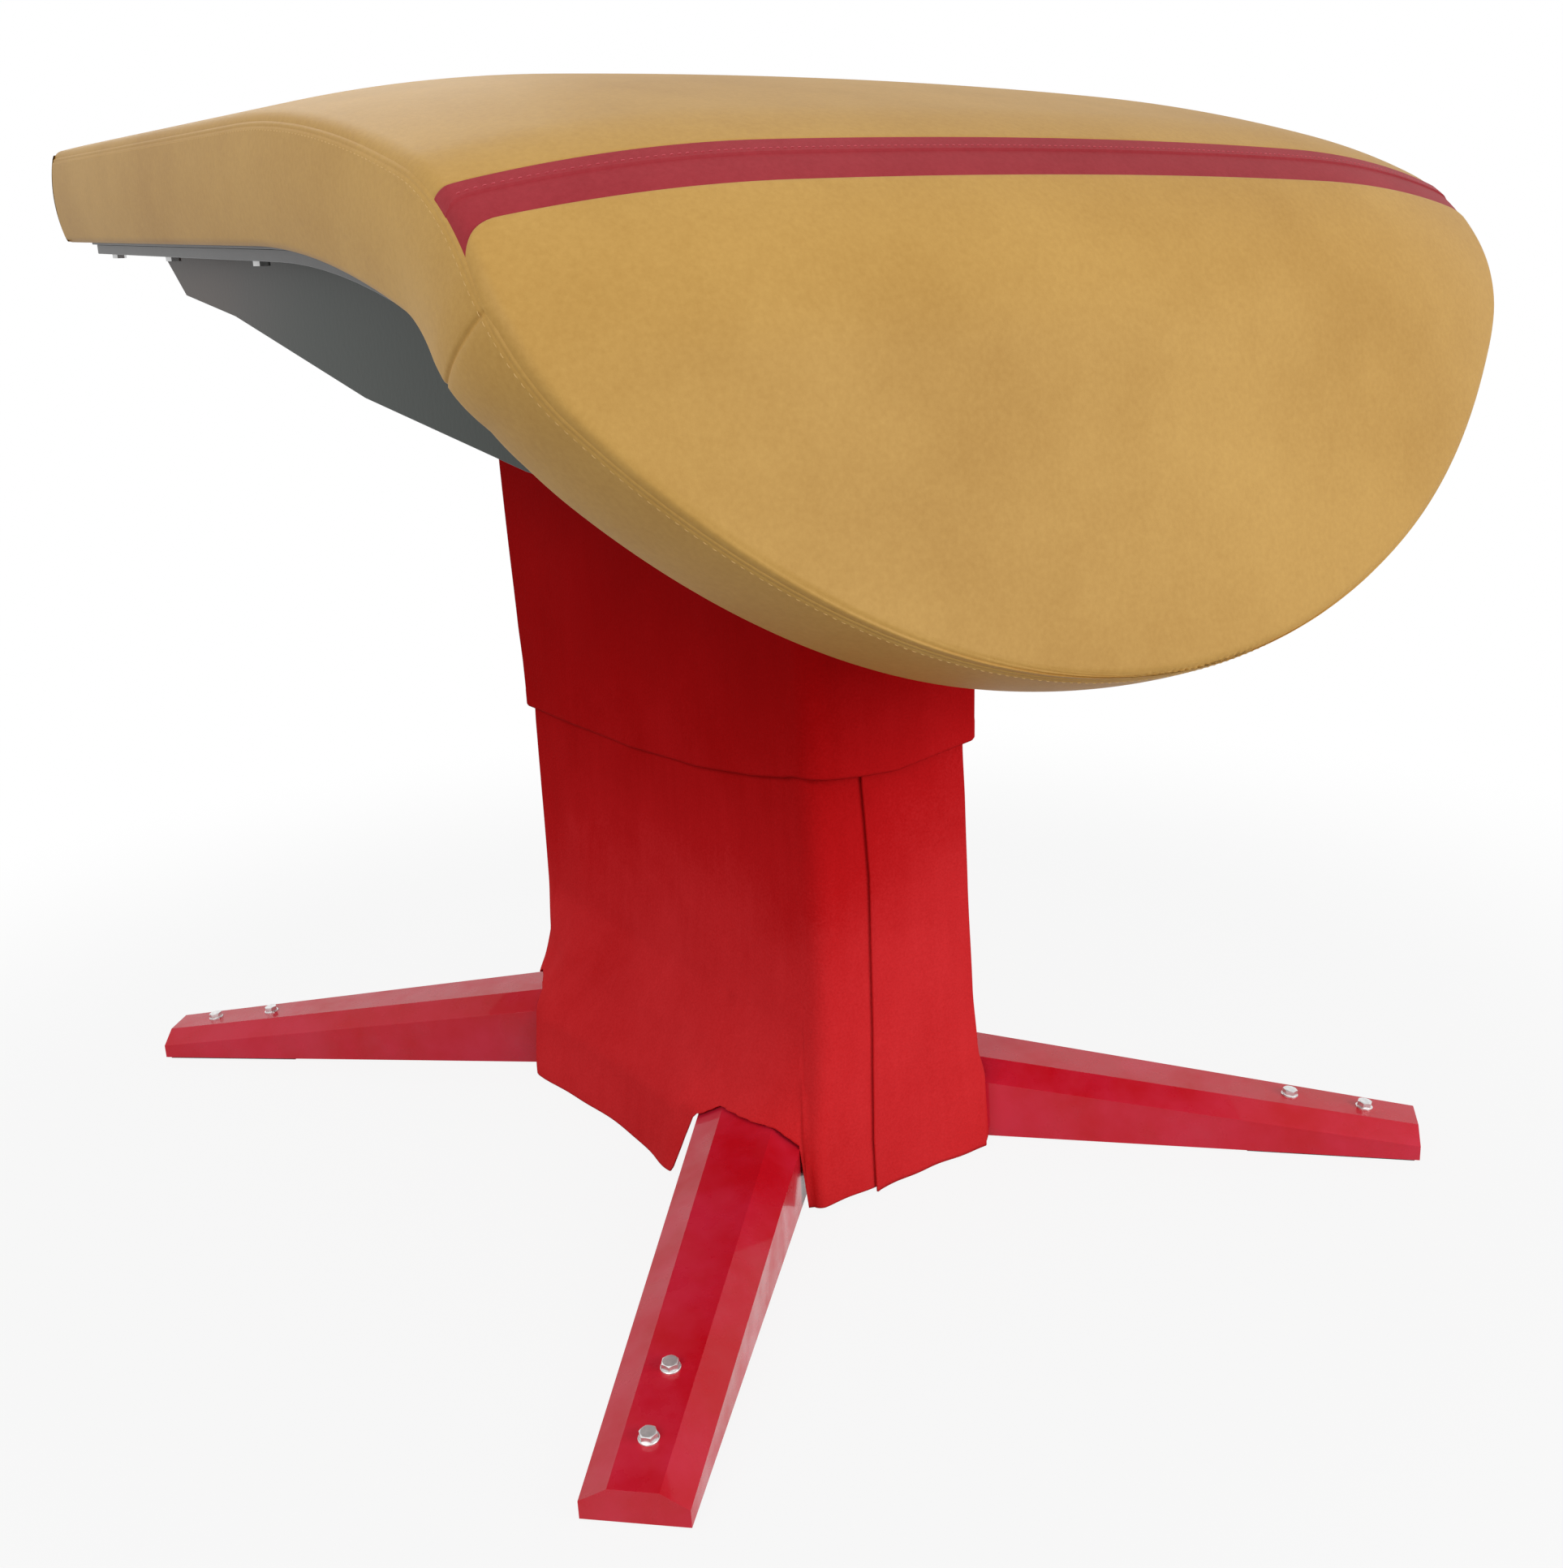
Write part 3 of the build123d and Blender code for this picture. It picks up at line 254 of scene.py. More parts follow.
def turned(name, radii, heights, seats):
    """Shapes turned round an axis: ring by ring a radius per angle and a height, one per seat.

    A seat is a place and the three directions of its own x, y and upward axis.
    """
    angle = np.linspace(0, 2 * pi, ring_count, endpoint=False)
    parts = [radii * np.cos(angle), radii * np.sin(angle), np.broadcast_to(heights, radii.shape)]
    rings = np.stack(parts, axis=-1).reshape(-1, 3)
    points = np.stack([place + rings @ np.array(axes) for place, axes in seats])
    piece = many_mesh(name, points, ring_faces(len(radii), ring_count))
    piece.data.set_sharp_from_angle(angle=radians(25))
    return piece


seats = []
for side, end in corners.values():
    out = np.array([side * sin(leg_turn[end]), end * cos(leg_turn[end]), 0.0])
    normal = out * grow_height + np.array([0.0, 0.0, 1.0])
    normal = normal / np.linalg.norm(normal)
    level = np.cross(normal, out) / np.linalg.norm(np.cross(normal, out))
    for from_tip in bolt_places:
        foot = np.array([0.0, end * leg_cross, 0.0]) + out * (leg_reach - from_tip)
        foot = foot + np.array([0.0, 0.0, tip_height + grow_height * from_tip])
        turn = 0.4 + 9.0 * from_tip + 2.0 * side + end
        ahead = np.cross(level, normal)
        first = ahead * cos(turn) + level * sin(turn)
        seats.append((foot, [first, np.cross(normal, first), normal]))

angle = np.linspace(0, 2 * pi, ring_count, endpoint=False)
hexagon = head_flat / np.cos((angle + pi / 6) % (pi / 3) - pi / 6)
top_circle = np.full(ring_count, head_flat * head_chamfer)
shoulder = washer_thick + head_height - (hexagon - top_circle) * tan(radians(30))
head_top = np.full(ring_count, washer_thick + head_height)
low = np.full(ring_count, washer_thick)
centre = np.full(ring_count, 1e-5)
chrome = Finish("plated_steel", Roughness=0.38, Metallic=0.85)
chrome.feed("Base Color", chrome.noise(220.0).ramp((0.3, 0.66), (0.7, 0.82)))
bolt_heads = turned(
    "foot_bolt_heads", np.stack([centre, hexagon, hexagon, top_circle, centre]),
    np.stack([low, low, shoulder, head_top, head_top]), seats,
)
dress(bolt_heads, chrome, "base", "chrome", "foot_bolts")
washer_rim = washer_outer - washer_bevel
washer_rings = np.array([washer_inner, washer_outer, washer_outer, washer_rim, washer_inner, washer_inner])
washer_levels = np.array([0.0, 0.0, washer_thick - washer_bevel, washer_thick, washer_thick, 0.0])
washer_rings = np.repeat(washer_rings[:, None], ring_count, axis=1)
bolt_washers = turned("foot_bolt_washers", washer_rings, washer_levels[:, None], seats)
dress(bolt_washers, chrome, "base", "chrome", "foot_washers")
rubber = Finish("black_rubber", Roughness=0.85)
rubber.feed("Base Color", rubber.noise(80.0).ramp((0.3, 0.02), (0.7, 0.04)))
paint(rubber, "foot_blocks")

# Stand: a hub beam with two telescopic posts on plastic glides, joined by a tie bar. A gas spring
# bears the body's weight and a spring plunger locks the height. The sleeves hide nearly all of it.
black_paint = Finish("black_paint", Roughness=0.38)
black_paint.feed("Base Color", black_paint.noise(30.0, 3.0).ramp((0.3, 0.018), (0.7, 0.034)))
black_paint.bump(black_paint.noise(700.0, 2.0), 0.00006)
steel = Finish("bright_steel", Roughness=0.3, Metallic=1.0)
steel.feed("Base Color", steel.noise(60.0, 3.0, (1, 1, 0.08)).ramp((0.3, 0.48), (0.7, 0.62)))
glide = Finish("glide_plastic", Roughness=0.5)
glide.feed("Base Color", glide.noise(40.0).ramp((0.3, 0.035), (0.7, 0.05)))
knob = Finish("knob_plastic", Roughness=0.35)
knob.tint(knob.noise(60.0), (0.3, (176, 16, 24)), (0.7, (190, 22, 30)))
paint(
    black_paint, "base_beam", "beam_end_caps", "outer_post_front", "outer_post_rear", "tie_bar",
    "spring_fork", "gas_spring_tube", "saddle_front", "saddle_rear", "sleeve_rail", "sleeve_frame",
)
paint(
    steel, "leg_root_bolts", "inner_post_front", "inner_post_rear", "post_bolts", "spring_head_pin",
    "spring_foot_pin", "gas_spring_gland", "lock_housing", "lock_plunger",
)
paint(glide, "upper_glide_front", "upper_glide_rear", "lower_glide_front", "lower_glide_rear")
paint(chrome, "gas_spring_rod")
paint(knob, "lock_knob")

# Lower sleeve: a tube of red velour hung from a frame near the top of the stand. It spreads towards
# the floor and lies over the roots of the legs; its hem rises where a leg comes out from under it.
stand_y = -0.010
cloth = 0.0018


def grid_mesh(name, points, closed_across=False, uv=None):
    """Makes a mesh from an array of points, rows by columns by 3, joining neighbours in fours."""
    rows, columns, _ = points.shape
    index = np.arange(rows * columns).reshape(rows, columns)
    if closed_across:
        index = np.concatenate([index, index[:, :1]], axis=1)
    quads = np.stack([index[:-1, :-1], index[:-1, 1:], index[1:, 1:], index[1:, :-1]], axis=-1)
    quads = quads.reshape(-1, 4)
    mesh = bpy.data.meshes.new(name)
    mesh.from_pydata(points.reshape(-1, 3), [], quads)
    if uv is not None:
        layer = mesh.uv_layers.new(name="surface")
        layer.data.foreach_set("uv", uv.reshape(-1, 2)[quads.ravel()].astype(np.float32).ravel())
    return link(name, mesh)


corner_share = {(-1, -1): 1.0, (1, -1): 0.3, (1, 1): 0.5, (-1, 1): 0.3}


def sleeve_plan(side_count, end_count, corner_count):
    """Factors of a rounded oblong plan, column by column, starting at the front left corner.

    x is A(a - r) + U r + U bow and y is C(b - r) + V r, for half sizes a and b, a corner radius r
    and a bow of the long sides; U and V also point straight out. The fifth factor scales r: only
    the front left corner is drawn full.
    """
    parts = []
    starts = [(-1, -1, pi, 1.5 * pi), (1, -1, 1.5 * pi, 2 * pi), (1, 1, 0, 0.5 * pi), (-1, 1, 0.5 * pi, pi)]
    ahead = [(1, -1), (1, 1), (-1, 1), (-1, -1)]
    for (cx, cy, start, stop), (nx, ny) in zip(starts, ahead):
        turns = np.linspace(start, stop, corner_count)
        one = np.ones(corner_count)
        here, there = corner_share[cx, cy], corner_share[nx, ny]
        parts.append(np.stack([cx * one, np.cos(turns), cy * one, np.sin(turns), here * one]))
        count = end_count if cy == ny else side_count
        run = np.linspace(0, 1, count + 2)[1:-1]
        one = np.ones(count)
        share = here + (there - here) * run
        if cy == ny:
            parts.append(np.stack([cx + (nx - cx) * run, 0 * one, cy * one, cy * one, share]))
        else:
            parts.append(np.stack([cx * one, cx * one, cy + (ny - cy) * run, 0 * one, share]))
    return np.concatenate(parts, axis=1)


def bow_shape(along):
    """Bow of a long side: full almost to the corners, with a low swell near each and a dip between."""
    rear_swell = 0.32 * np.exp(-(((along - 0.52) / 0.24) ** 2))
    front_swell = 0.14 * np.exp(-(((along + 0.50) / 0.13) ** 2))
    return (1 - along ** 4) * (1 + rear_swell + front_swell)


def plan_point(plan, a, b, r, bow, swell=0.0):
    """Point of the sleeve's plan for sizes given per point, pushed straight out by a swell."""
    A, U, C, V, share = plan
    r = r * share
    x = A * (a - r) + U * (r + swell) + U * bow * bow_shape(C)
    return x, stand_y + C * (b - r) + V * (r + swell)


def eased(z, heights, sizes):
    """Sizes between given heights, eased so that the cloth has no kink where two meet."""
    step = np.interp(z, heights, np.arange(len(heights)))
    low = np.floor(step).clip(0, len(heights) - 2).astype(int)
    part = step - low
    part = 0.5 * part + 0.5 * part * part * (3 - 2 * part)
    sizes = np.asarray(sizes)
    return sizes[low] * (1 - part) + sizes[low + 1] * part


lower_heights = [0.0, 0.070, 0.120, 0.180, 0.290, 0.380, 0.430, 0.600, 0.700]
lower_sizes = (
    [0.104, 0.1035, 0.0975, 0.0940, 0.0908, 0.0903, 0.0898, 0.0890, 0.0890],
    [0.302, 0.301, 0.300, 0.300, 0.300, 0.299, 0.2975, 0.2985, 0.2985],
    [0.006, 0.010, 0.016, 0.022, 0.026, 0.026, 0.026, 0.018, 0.012],
    [0.078, 0.067, 0.038, 0.009, 0.001, 0.0, 0.0, 0.0, 0.0],
)
lower_back = [0.002, 0.001, -0.006, -0.003, 0.006, 0.006, 0.004, 0.0, 0.0]


def lower_point(plan, z, off=0.0):
    """Point of the lower sleeve's cloth at a height, with the soft waves that its weight gives."""
    sizes = [eased(z, lower_heights, sizes) for sizes in lower_sizes]
    x, y = plan_point(plan, *sizes)
    low = np.clip(1 - z / 0.34, 0, 1)
    wave = 0.0020 * np.sin(23 * y + 9 * z + 1.0) + 0.0012 * np.sin(47 * y - 14 * z + 31 * x)
    wave = wave + 0.0006 * np.sin(110 * x + 60 * y + 6 * z) * low
    wave = wave * (0.12 + low * 1.3) * np.clip((0.66 - z) / 0.3, 0, 1)
    x, y = plan_point(plan, *sizes, wave + off)
    return x, y + eased(z, lower_heights, lower_back) * 0.5 * (1 + plan[2])


leg_root, over_leg = 0.08, 0.002


def over_legs(x, y, z, end_room, long_room):
    """True where a point lies in the space that a leg takes, with some room on either side of it."""
    inside = np.zeros(np.broadcast(x, y, z).shape, bool)
    for side, end in corners.values():
        out_x, out_y = side * sin(leg_turn[end]), end * cos(leg_turn[end])
        along = x * out_x + (y - end * leg_cross) * out_y
        off = x * side * end * out_y - (y - end * leg_cross) * side * end * out_x
        room = np.where(off > 0, long_room, end_room)
        off = np.abs(off)
        from_tip = leg_reach - along
        half = tip_half + grow_half * from_tip
        half_top = tip_top + grow_top * from_tip
        side_top = tip_side + grow_side * from_tip
        top = tip_height + grow_height * from_tip
        slope = (top - side_top) / (half - half_top)
        roof = np.minimum(top, side_top + (half + room - off) * slope) + over_leg
        inside |= (along > leg_root) & (off < half + room) & (z < roof)
    return inside


floor_gap, leg_gap = 0.004, 0.003
scan = np.linspace(0.150, floor_gap, 147)[:, None]
lower_plan = sleeve_plan(150, 48, 10)[:, None, :]
scan_x, scan_y = lower_point(lower_plan, scan)
low_down = np.maximum(0.075 - scan, 0)
blocked = over_legs(scan_x, scan_y, scan, leg_gap + 0.06 * low_down, leg_gap + 0.42 * low_down)
hem_height = np.where(blocked.any(axis=0), scan[blocked.argmax(axis=0), 0] + 0.001, floor_gap)
hem_wave = 0.0015 * (1 + np.sin(0.11 * np.arange(len(hem_height))))
hem_height = np.maximum(hem_height, floor_gap + hem_wave)
rows = np.linspace(0, 1, 105)[:, None]
lower_top = lower_heights[-1]
lower_z = lower_top + (hem_height[None] - lower_top) * (1 - (1 - rows) ** 1.25)
lower_x, lower_y = lower_point(lower_plan, lower_z)
lower_sleeve = grid_mesh(
    "lower_sleeve_cloth", np.stack([lower_x, lower_y, lower_z], axis=-1)[::-1], closed_across=True,
)


def thicken(piece):
    """Gives cloth its thickness, inwards from the outer face."""
    solidify = piece.modifiers.new("thickness", "SOLIDIFY")
    solidify.thickness = cloth
    solidify.offset = -1
    return piece


# Its nap lies in soft patches and upright streaks. Its colour is also painted paler low down and towards the
# front right, and darker high up under the body: painted light and shade.
velour = Finish("red_velour", Roughness=0.95, Specular_IOR_Level=0.06)
velour_x, velour_y, velour_z = velour.split()
patch = velour.noise(7.0, 5.0, None, 0.6)
streak = velour.noise(70.0, 3.0, (1, 1, 0.12), 0.6)
nap = velour.noise(420.0, 2.0)
# Painted light and shade: a ramp by place on the cloth, darker up under the body and paler towards the lower
# front right.
painted_low_light = velour.between(velour_x * 0.5 - velour_y * 0.15 - velour_z, -0.62, -0.12)
velour.tint(
    patch * 0.34 + streak * 0.09 + nap * 0.19 + painted_low_light * 0.52,
    (0.22, (164, 4, 5)), (0.38, (176, 8, 10)), (0.60, (198, 22, 26)), (0.90, (226, 50, 54)),
)
velour.bump(nap * 0.7 + streak * 0.2 + patch * 1.2, 0.0006)
dress(thicken(lower_sleeve), velour, "base", "red_fabric", "lower_sleeve")

# Closing flap: a narrow strip of the same velour, sewn to the right of the lower sleeve's front. It
# closes the sleeve's opening, and its free left edge is a turned hem that hangs down to the floor.
flap_rows = np.linspace(0, 1, 110)[:, None]
flap_foot, flap_top = 0.003, 0.444
flap_z = flap_foot + (flap_top - flap_foot) * flap_rows
front_share = np.concatenate([[0, 0.004, 0.010, 0.018, 0.03], np.linspace(0.05, 1, 26)])[None]
corner_turn = np.linspace(1.5 * pi, 2 * pi, 9)[None, 1:]
side_share = np.linspace(0, 1, 6)[None, 1:]
flap_edge = np.interp(flap_z, [0.0, 0.06, 0.20, 0.33, 0.43], [-0.040, -0.042, -0.037, -0.034, -0.039])
flap_a = eased(flap_z, lower_heights, lower_sizes[0])
flap_r = eased(flap_z, lower_heights, lower_sizes[2])
flap_start = flap_edge / (flap_a - flap_r * 0.65)


def flap_factor(front, corner, side):
    """One factor of the flap's plan, along the front, round the corner and a little up the side."""
    one = np.ones_like(flap_z)
    return np.concatenate([one * front, one * corner, one * side], axis=1)


flap_plan = [
    flap_factor(flap_start + (1 - flap_start) * front_share, 0 * corner_turn + 1, 0 * side_share + 1),
    flap_factor(0 * front_share, np.cos(corner_turn), 0 * side_share + 1),
    flap_factor(0 * front_share - 1, 0 * corner_turn - 1, -1 + 0.05 * side_share),
    flap_factor(0 * front_share - 1, np.sin(corner_turn), 0 * side_share),
]
front_round = corner_share[1, -1] + (1 - corner_share[1, -1]) * 0.5 * (1 - flap_plan[0])
flap_plan.append(np.where(flap_plan[1] == 0, front_round, corner_share[1, -1]))
flap_run = np.linspace(0, 1, flap_plan[0].shape[1])[None]
turned_hem = 0.0009 * np.exp(-(((flap_run - 0.04) / 0.05) ** 2)) - 0.0016 * np.exp(-((flap_run / 0.018) ** 2))
flap_off = 0.0030 * (1 - flap_run) ** 1.5 + 0.0006 + turned_hem
flap_z = flap_z + 0 * flap_run
flap_x, flap_y = lower_point(flap_plan, flap_z, flap_off)
closing_flap = grid_mesh("closing_flap_cloth", np.stack([flap_x, flap_y, flap_z], axis=-1))
dress(thicken(closing_flap), velour, "base", "red_fabric", "closing_flap")

# Upper sleeve: a shorter tube of velour clamped to a rail inside the keel. It moves with the body
# and slides over the lower sleeve; its turned-up hem is level at the rear and rises to the front.
upper_heights = [0.38, 0.41, 0.45, 0.50, 0.69, 0.78, 0.90]
upper_sizes = (
    [0.0962, 0.0962, 0.0964, 0.0966, 0.0970, 0.0965, 0.0965],
    [0.3101, 0.3103, 0.3110, 0.3130, 0.3155, 0.3155, 0.3145],
    [0.026, 0.024, 0.024, 0.024, 0.020, 0.014, 0.010],
)
upper_front = 0.3090
upper_plan = sleeve_plan(150, 50, 10)[:, None, :]


def upper_point(z, off=0.0):
    """Point of the upper sleeve's cloth at a height, with shallow waves that fade at the top."""
    sizes = [eased(z, upper_heights, sizes) for sizes in upper_sizes]
    x, y = plan_point(upper_plan, *sizes, 0.0)
    back = sizes[1] - upper_front
    wave = 0.0008 * np.sin(17 * y + 11 * z) + 0.0004 * np.sin(39 * y - 25 * z + 20 * x)
    x, y = plan_point(upper_plan, *sizes, 0.0, wave * np.clip((0.80 - z) / 0.25, 0, 1) + off)
    return x, y + back


column_x, column_y = upper_point(np.full(upper_plan.shape[2], 0.41)[None])
hem_side = np.interp(column_y, [-0.326, -0.214, -0.104, 0.037, 0.268], [0.441, 0.421, 0.408, 0.400, 0.401])
hem_front = np.interp(column_x, [-0.089, -0.039, 0.000, 0.091], [0.436, 0.431, 0.429, 0.441])
near_front = np.clip((-0.270 - column_y) / 0.035, 0, 1)
upper_hem = hem_side + (hem_front - hem_side) * near_front
belly_z = np.interp(column_y, [-0.440, -0.135, 0.220, 0.400], [0.745, 0.790, 0.865, 0.892])
upper_top = belly_z + 0.016
upper_rows = np.concatenate([np.linspace(0, 0.92, 70), np.linspace(0.925, 1, 26)])[:, None]
upper_z = upper_top + (upper_hem - upper_top) * upper_rows
over_hem = upper_z - upper_hem
hem_fold = 0.0003 * np.clip((0.022 - over_hem) / 0.003, 0, 1) - 0.0020 * np.exp(-((over_hem / 0.0016) ** 2))
rail_inset = 0.0012 + 0.0120 * np.clip((column_y - 0.2) / 0.1, 0, 1)
in_rail = np.clip((upper_z - belly_z - 0.002) / 0.006, 0, 1) * rail_inset
upper_x, upper_y = upper_point(upper_z, hem_fold - in_rail)
upper_points = np.stack([upper_x, upper_y, upper_z], axis=-1)[::-1]
upper_sleeve = grid_mesh("upper_sleeve_cloth", upper_points, closed_across=True)
dress(thicken(upper_sleeve), velour, "head", "red_fabric", "upper_sleeve")

# Keel and plate: the body's moulded grey belly, two skins that meet below and close over the stand,
# under a black steel plate whose rails and bolts show as a thin dark strip under the pad.
keel_shell = Finish("keel_shell", Roughness=0.42, Specular_IOR_Level=0.22)
_, keel_y, keel_z = keel_shell.split()
# Painted light and shade: the shell's colour runs by place, paler and warmer at the rear top and darker and
# greener towards the front bottom, blurred by cloud noise.
keel_painted_shade = keel_shell.between(keel_y * 0.8 + keel_z + keel_shell.noise(5.0, 3.0) * 0.10, 0.86, 1.24)
keel_shell.tint(keel_painted_shade, (0.0, (26, 36, 28)), (0.55, (55, 51, 46)), (1.0, (70, 58, 50)))
keel_shell.bump(keel_shell.noise(160.0, 3.0), 0.0001)
keel_edge = 0.0008
for name in ("keel_left", "keel_right", "keel_rear", "keel_belly"):
    dress(rounded_copy(name, keel_edge, 2), keel_shell, "head", "grey_shell", name)
for name in ("base_plate", "plate_rails"):
    dress(rounded_copy(name, keel_edge, 2), black_paint, "head", "black_steel", name)
paint(steel, "plate_bolts")

# Board and foam: the body's curved plywood board with a foam block glued to it. The cover hides
# the foam; the board's edge and underside show in the gap over the plate.
plywood = Finish("plywood", Roughness=0.6)
grain = plywood.noise(9.0, 5.0, (0.25, 1, 6), 0.65)
plywood.tint(grain, (0.3, (120, 84, 50)), (0.55, (150, 112, 70)), (0.75, (172, 134, 90)))
plywood.bump(grain, 0.0002)
paint(plywood, "pad_board")

# Cover: artificial leather drawn over the foam, in a deck, a stripe and a tongue panel on top and
# four bands round the edge. Panels and bands meet in a top-stitched seam with a soft roll above it.
rear_y = 0.615
rear_seam_z = 1.0575
deck_slope = radians(3.9)
deck_front_y = -0.119
brow_radius = 1.507
brow_end = radians(17.3)
nose_radius = 0.184
tongue_slope = radians(77.9)
seam_half = 0.4725
pad_depth = 0.095
crown = 0.038
crown_radius = 6.6
shoulder_radius = 1.0
tip_radius = 0.5705
tip_centre_z = 1.148
corner_radius = 0.140
outline_y = -0.600
flare = tan(radians(2.0))
side_flare = -0.0005
side_bulge = 0.0065
tongue_bulge = 0.004
rear_bulge = 0.004
edge_roll = 0.0085
perimeter_step = 0.0065
path_end = 1.8


def seam_line(distance):
    """Side view of the seam at distances from the rear end: y, z and slope, arc after arc."""
    a0, a1, a2 = deck_slope, brow_end, tongue_slope
    deck = (rear_y - deck_front_y) / cos(a0)
    brow, nose = brow_radius * (a1 - a0), nose_radius * (a2 - a1)
    on_deck = np.minimum(distance, deck)
    on_brow = np.clip(distance - deck, 0, brow)
    on_nose = np.clip(distance - deck - brow, 0, nose)
    on_tongue = np.maximum(distance - deck - brow - nose, 0)
    bent = a0 + on_brow / brow_radius
    slope = bent + on_nose / nose_radius
    y = rear_y - on_deck * cos(a0) - brow_radius * (np.sin(bent) - sin(a0))
    z = rear_seam_z - on_deck * sin(a0) - brow_radius * (cos(a0) - np.cos(bent))
    y = y - nose_radius * (np.sin(slope) - np.sin(bent)) - on_tongue * cos(a2)
    z = z - nose_radius * (np.cos(bent) - np.cos(slope)) - on_tongue * sin(a2)
    return y, z, slope


crown_level = crown_radius - crown
crown_reach = crown_radius - shoulder_radius
crown_span = hypot(seam_half, crown_level)
apart_share = (crown_reach ** 2 + crown_span ** 2 - shoulder_radius ** 2) / (2 * crown_reach * crown_span)
meet_turn = atan2(seam_half, crown_level) - float(np.arccos(apart_share))
shoulder_x = crown_reach * sin(meet_turn)
shoulder_z = crown_reach * cos(meet_turn) - crown_level
meet_x = crown_radius * sin(meet_turn)


def crown_height(x):
    """How far the face stands above the seam line: a wide arc between two shoulder arcs."""
    away = np.minimum(np.abs(x), seam_half)
    wide = np.sqrt(crown_radius ** 2 - away ** 2) - crown_level
    shoulder = shoulder_z + np.sqrt(shoulder_radius ** 2 - (away - shoulder_x) ** 2)
    return np.where(away < meet_x, wide, shoulder)


def face_point(x, distance):
    """Point of the face: the seam line at that distance, raised square to it by the crown."""
    y, z, slope = seam_line(distance)
    rise = crown_height(x)
    return np.stack([x, y - rise * np.sin(slope), z + rise * np.cos(slope)], axis=-1)


def edge_half():
    """Right half of the face's edge, as x and distance, from the rear corner to the tip.

    Along the side x is constant. Round the tongue each point lies where the face crosses the
    outline, which is a corner arc and a wide arc seen from the run-up, and grows towards the back.
    A few rounds settle how much it has grown at each point.
    """
    corner_x = seam_half - corner_radius
    corner_z = tip_centre_z - sqrt((tip_radius - corner_radius) ** 2 - corner_x ** 2)
    meet = atan2(corner_x, tip_centre_z - corner_z)
    corner_count, tip_count, side_count = 60, 89, 199
    corner_turn = np.linspace(pi / 2, meet, corner_count)
    tip_turn = np.linspace(meet, 0, tip_count + 1)[1:]
    centre = np.concatenate([np.full(corner_count, corner_x), np.zeros(tip_count)])
    centre_z = np.concatenate([np.full(corner_count, corner_z), np.full(tip_count, tip_centre_z)])
    radius = np.concatenate([np.full(corner_count, corner_radius), np.full(tip_count, tip_radius)])
    turns = np.concatenate([corner_turn, tip_turn])
    fine = np.linspace(0, path_end, 6001)
    _, line_z, line_slope = seam_line(fine)
    grow = np.zeros_like(turns)
    for _ in range(12):
        x = centre + (radius + grow) * np.sin(turns)
        z = centre_z - (radius + grow) * np.cos(turns)
        seam_z = z - crown_height(x) * np.cos(np.interp(-z, -line_z, line_slope))
        distance = np.interp(-seam_z, -line_z, fine)
        grow = np.minimum((face_point(x, distance)[..., 1] - outline_y) * flare, 0.004)
    side = np.linspace(0, distance[0], side_count + 1)[:-1]
    start = seam_half + (x[0] - seam_half) * np.linspace(0, 1, side_count) ** 6
    return np.concatenate([start, x]), np.concatenate([side, distance])


raw_x, raw_s = edge_half()
raw = face_point(raw_x, raw_s)
travelled = np.concatenate([[0], np.cumsum(np.linalg.norm(np.diff(raw, axis=0), axis=1))])
even = np.linspace(0, travelled[-1], int(travelled[-1] / perimeter_step))
half_x = np.interp(even, travelled, raw_x)
half_s = np.interp(even, travelled, raw_s)
half_x[-1] = 0.0
edge_x = np.concatenate([half_x, -half_x[-2::-1]])
edge_s = np.concatenate([half_s, half_s[-2::-1]])
edge = face_point(edge_x, edge_s)
edge_run = np.concatenate([[0], np.cumsum(np.linalg.norm(np.diff(edge, axis=0), axis=1))])


def unit(vectors):
    """Vectors of length one."""
    return vectors / np.linalg.norm(vectors, axis=-1, keepdims=True)


def square_to_line(distance):
    """Direction out of the face, square to the seam line."""
    slope = seam_line(distance)[2]
    return np.stack([np.zeros_like(slope), -np.sin(slope), np.cos(slope)], axis=-1)


edge_along = unit(np.gradient(edge, axis=0))
edge_out = unit(np.cross(edge_along, square_to_line(edge_s)))
edge_out = edge_out * np.sign(edge_out[0, 0])
edge_up = np.cross(edge_out, edge_along)
edge_up = unit(edge_up * np.sign(np.sum(edge_up * square_to_line(edge_s), axis=1))[:, None])
on_tongue = np.clip((seam_half + 0.004 - np.abs(edge_x)) / 0.06, 0, 1)
on_tongue = on_tongue * on_tongue * (3 - 2 * on_tongue)
band_lean = side_flare + (pad_depth * flare - side_flare) * on_tongue
band_bulge = side_bulge + (tongue_bulge - side_bulge) * on_tongue

fine_s = np.linspace(0, path_end, 4000)
seam_slopes = np.radians([34.1, 45.1, 62.5])
stripe_start, stripe_end, cross_seam = np.interp(seam_slopes, seam_line(fine_s)[2], fine_s)
stripe_fold = 0.0125
stripe_corner = 0.024
layer = 0.0012
across_share = np.linspace(0, 1, 46) ** 2.2
across = np.concatenate([across_share - 1, (1 - across_share[:-1])[::-1]])


def edge_gap(points, distances):
    """Distance of each face point from the face's edge, measured in space, row by row."""
    nearest = np.full(points.shape[:2], 1.0)
    for row in range(points.shape[0]):
        close = np.abs(edge_s - distances[row]) < 0.09
        nearest[row] = np.linalg.norm(points[row][:, None] - edge[close][None], axis=-1).min(axis=1)
    return nearest


def seam_swing(x, half, distance):
    """How far the stripe's seams swing forward close to the sides, in a small quarter arc."""
    swing = np.clip(np.abs(x) - (half - stripe_corner), 0, stripe_corner)
    swing = stripe_corner - np.sqrt(stripe_corner ** 2 - swing ** 2)
    away = np.maximum((stripe_end - distance) / 0.038, (distance - stripe_end) / 0.07)
    return swing * np.clip(1 - away, 0, 1)


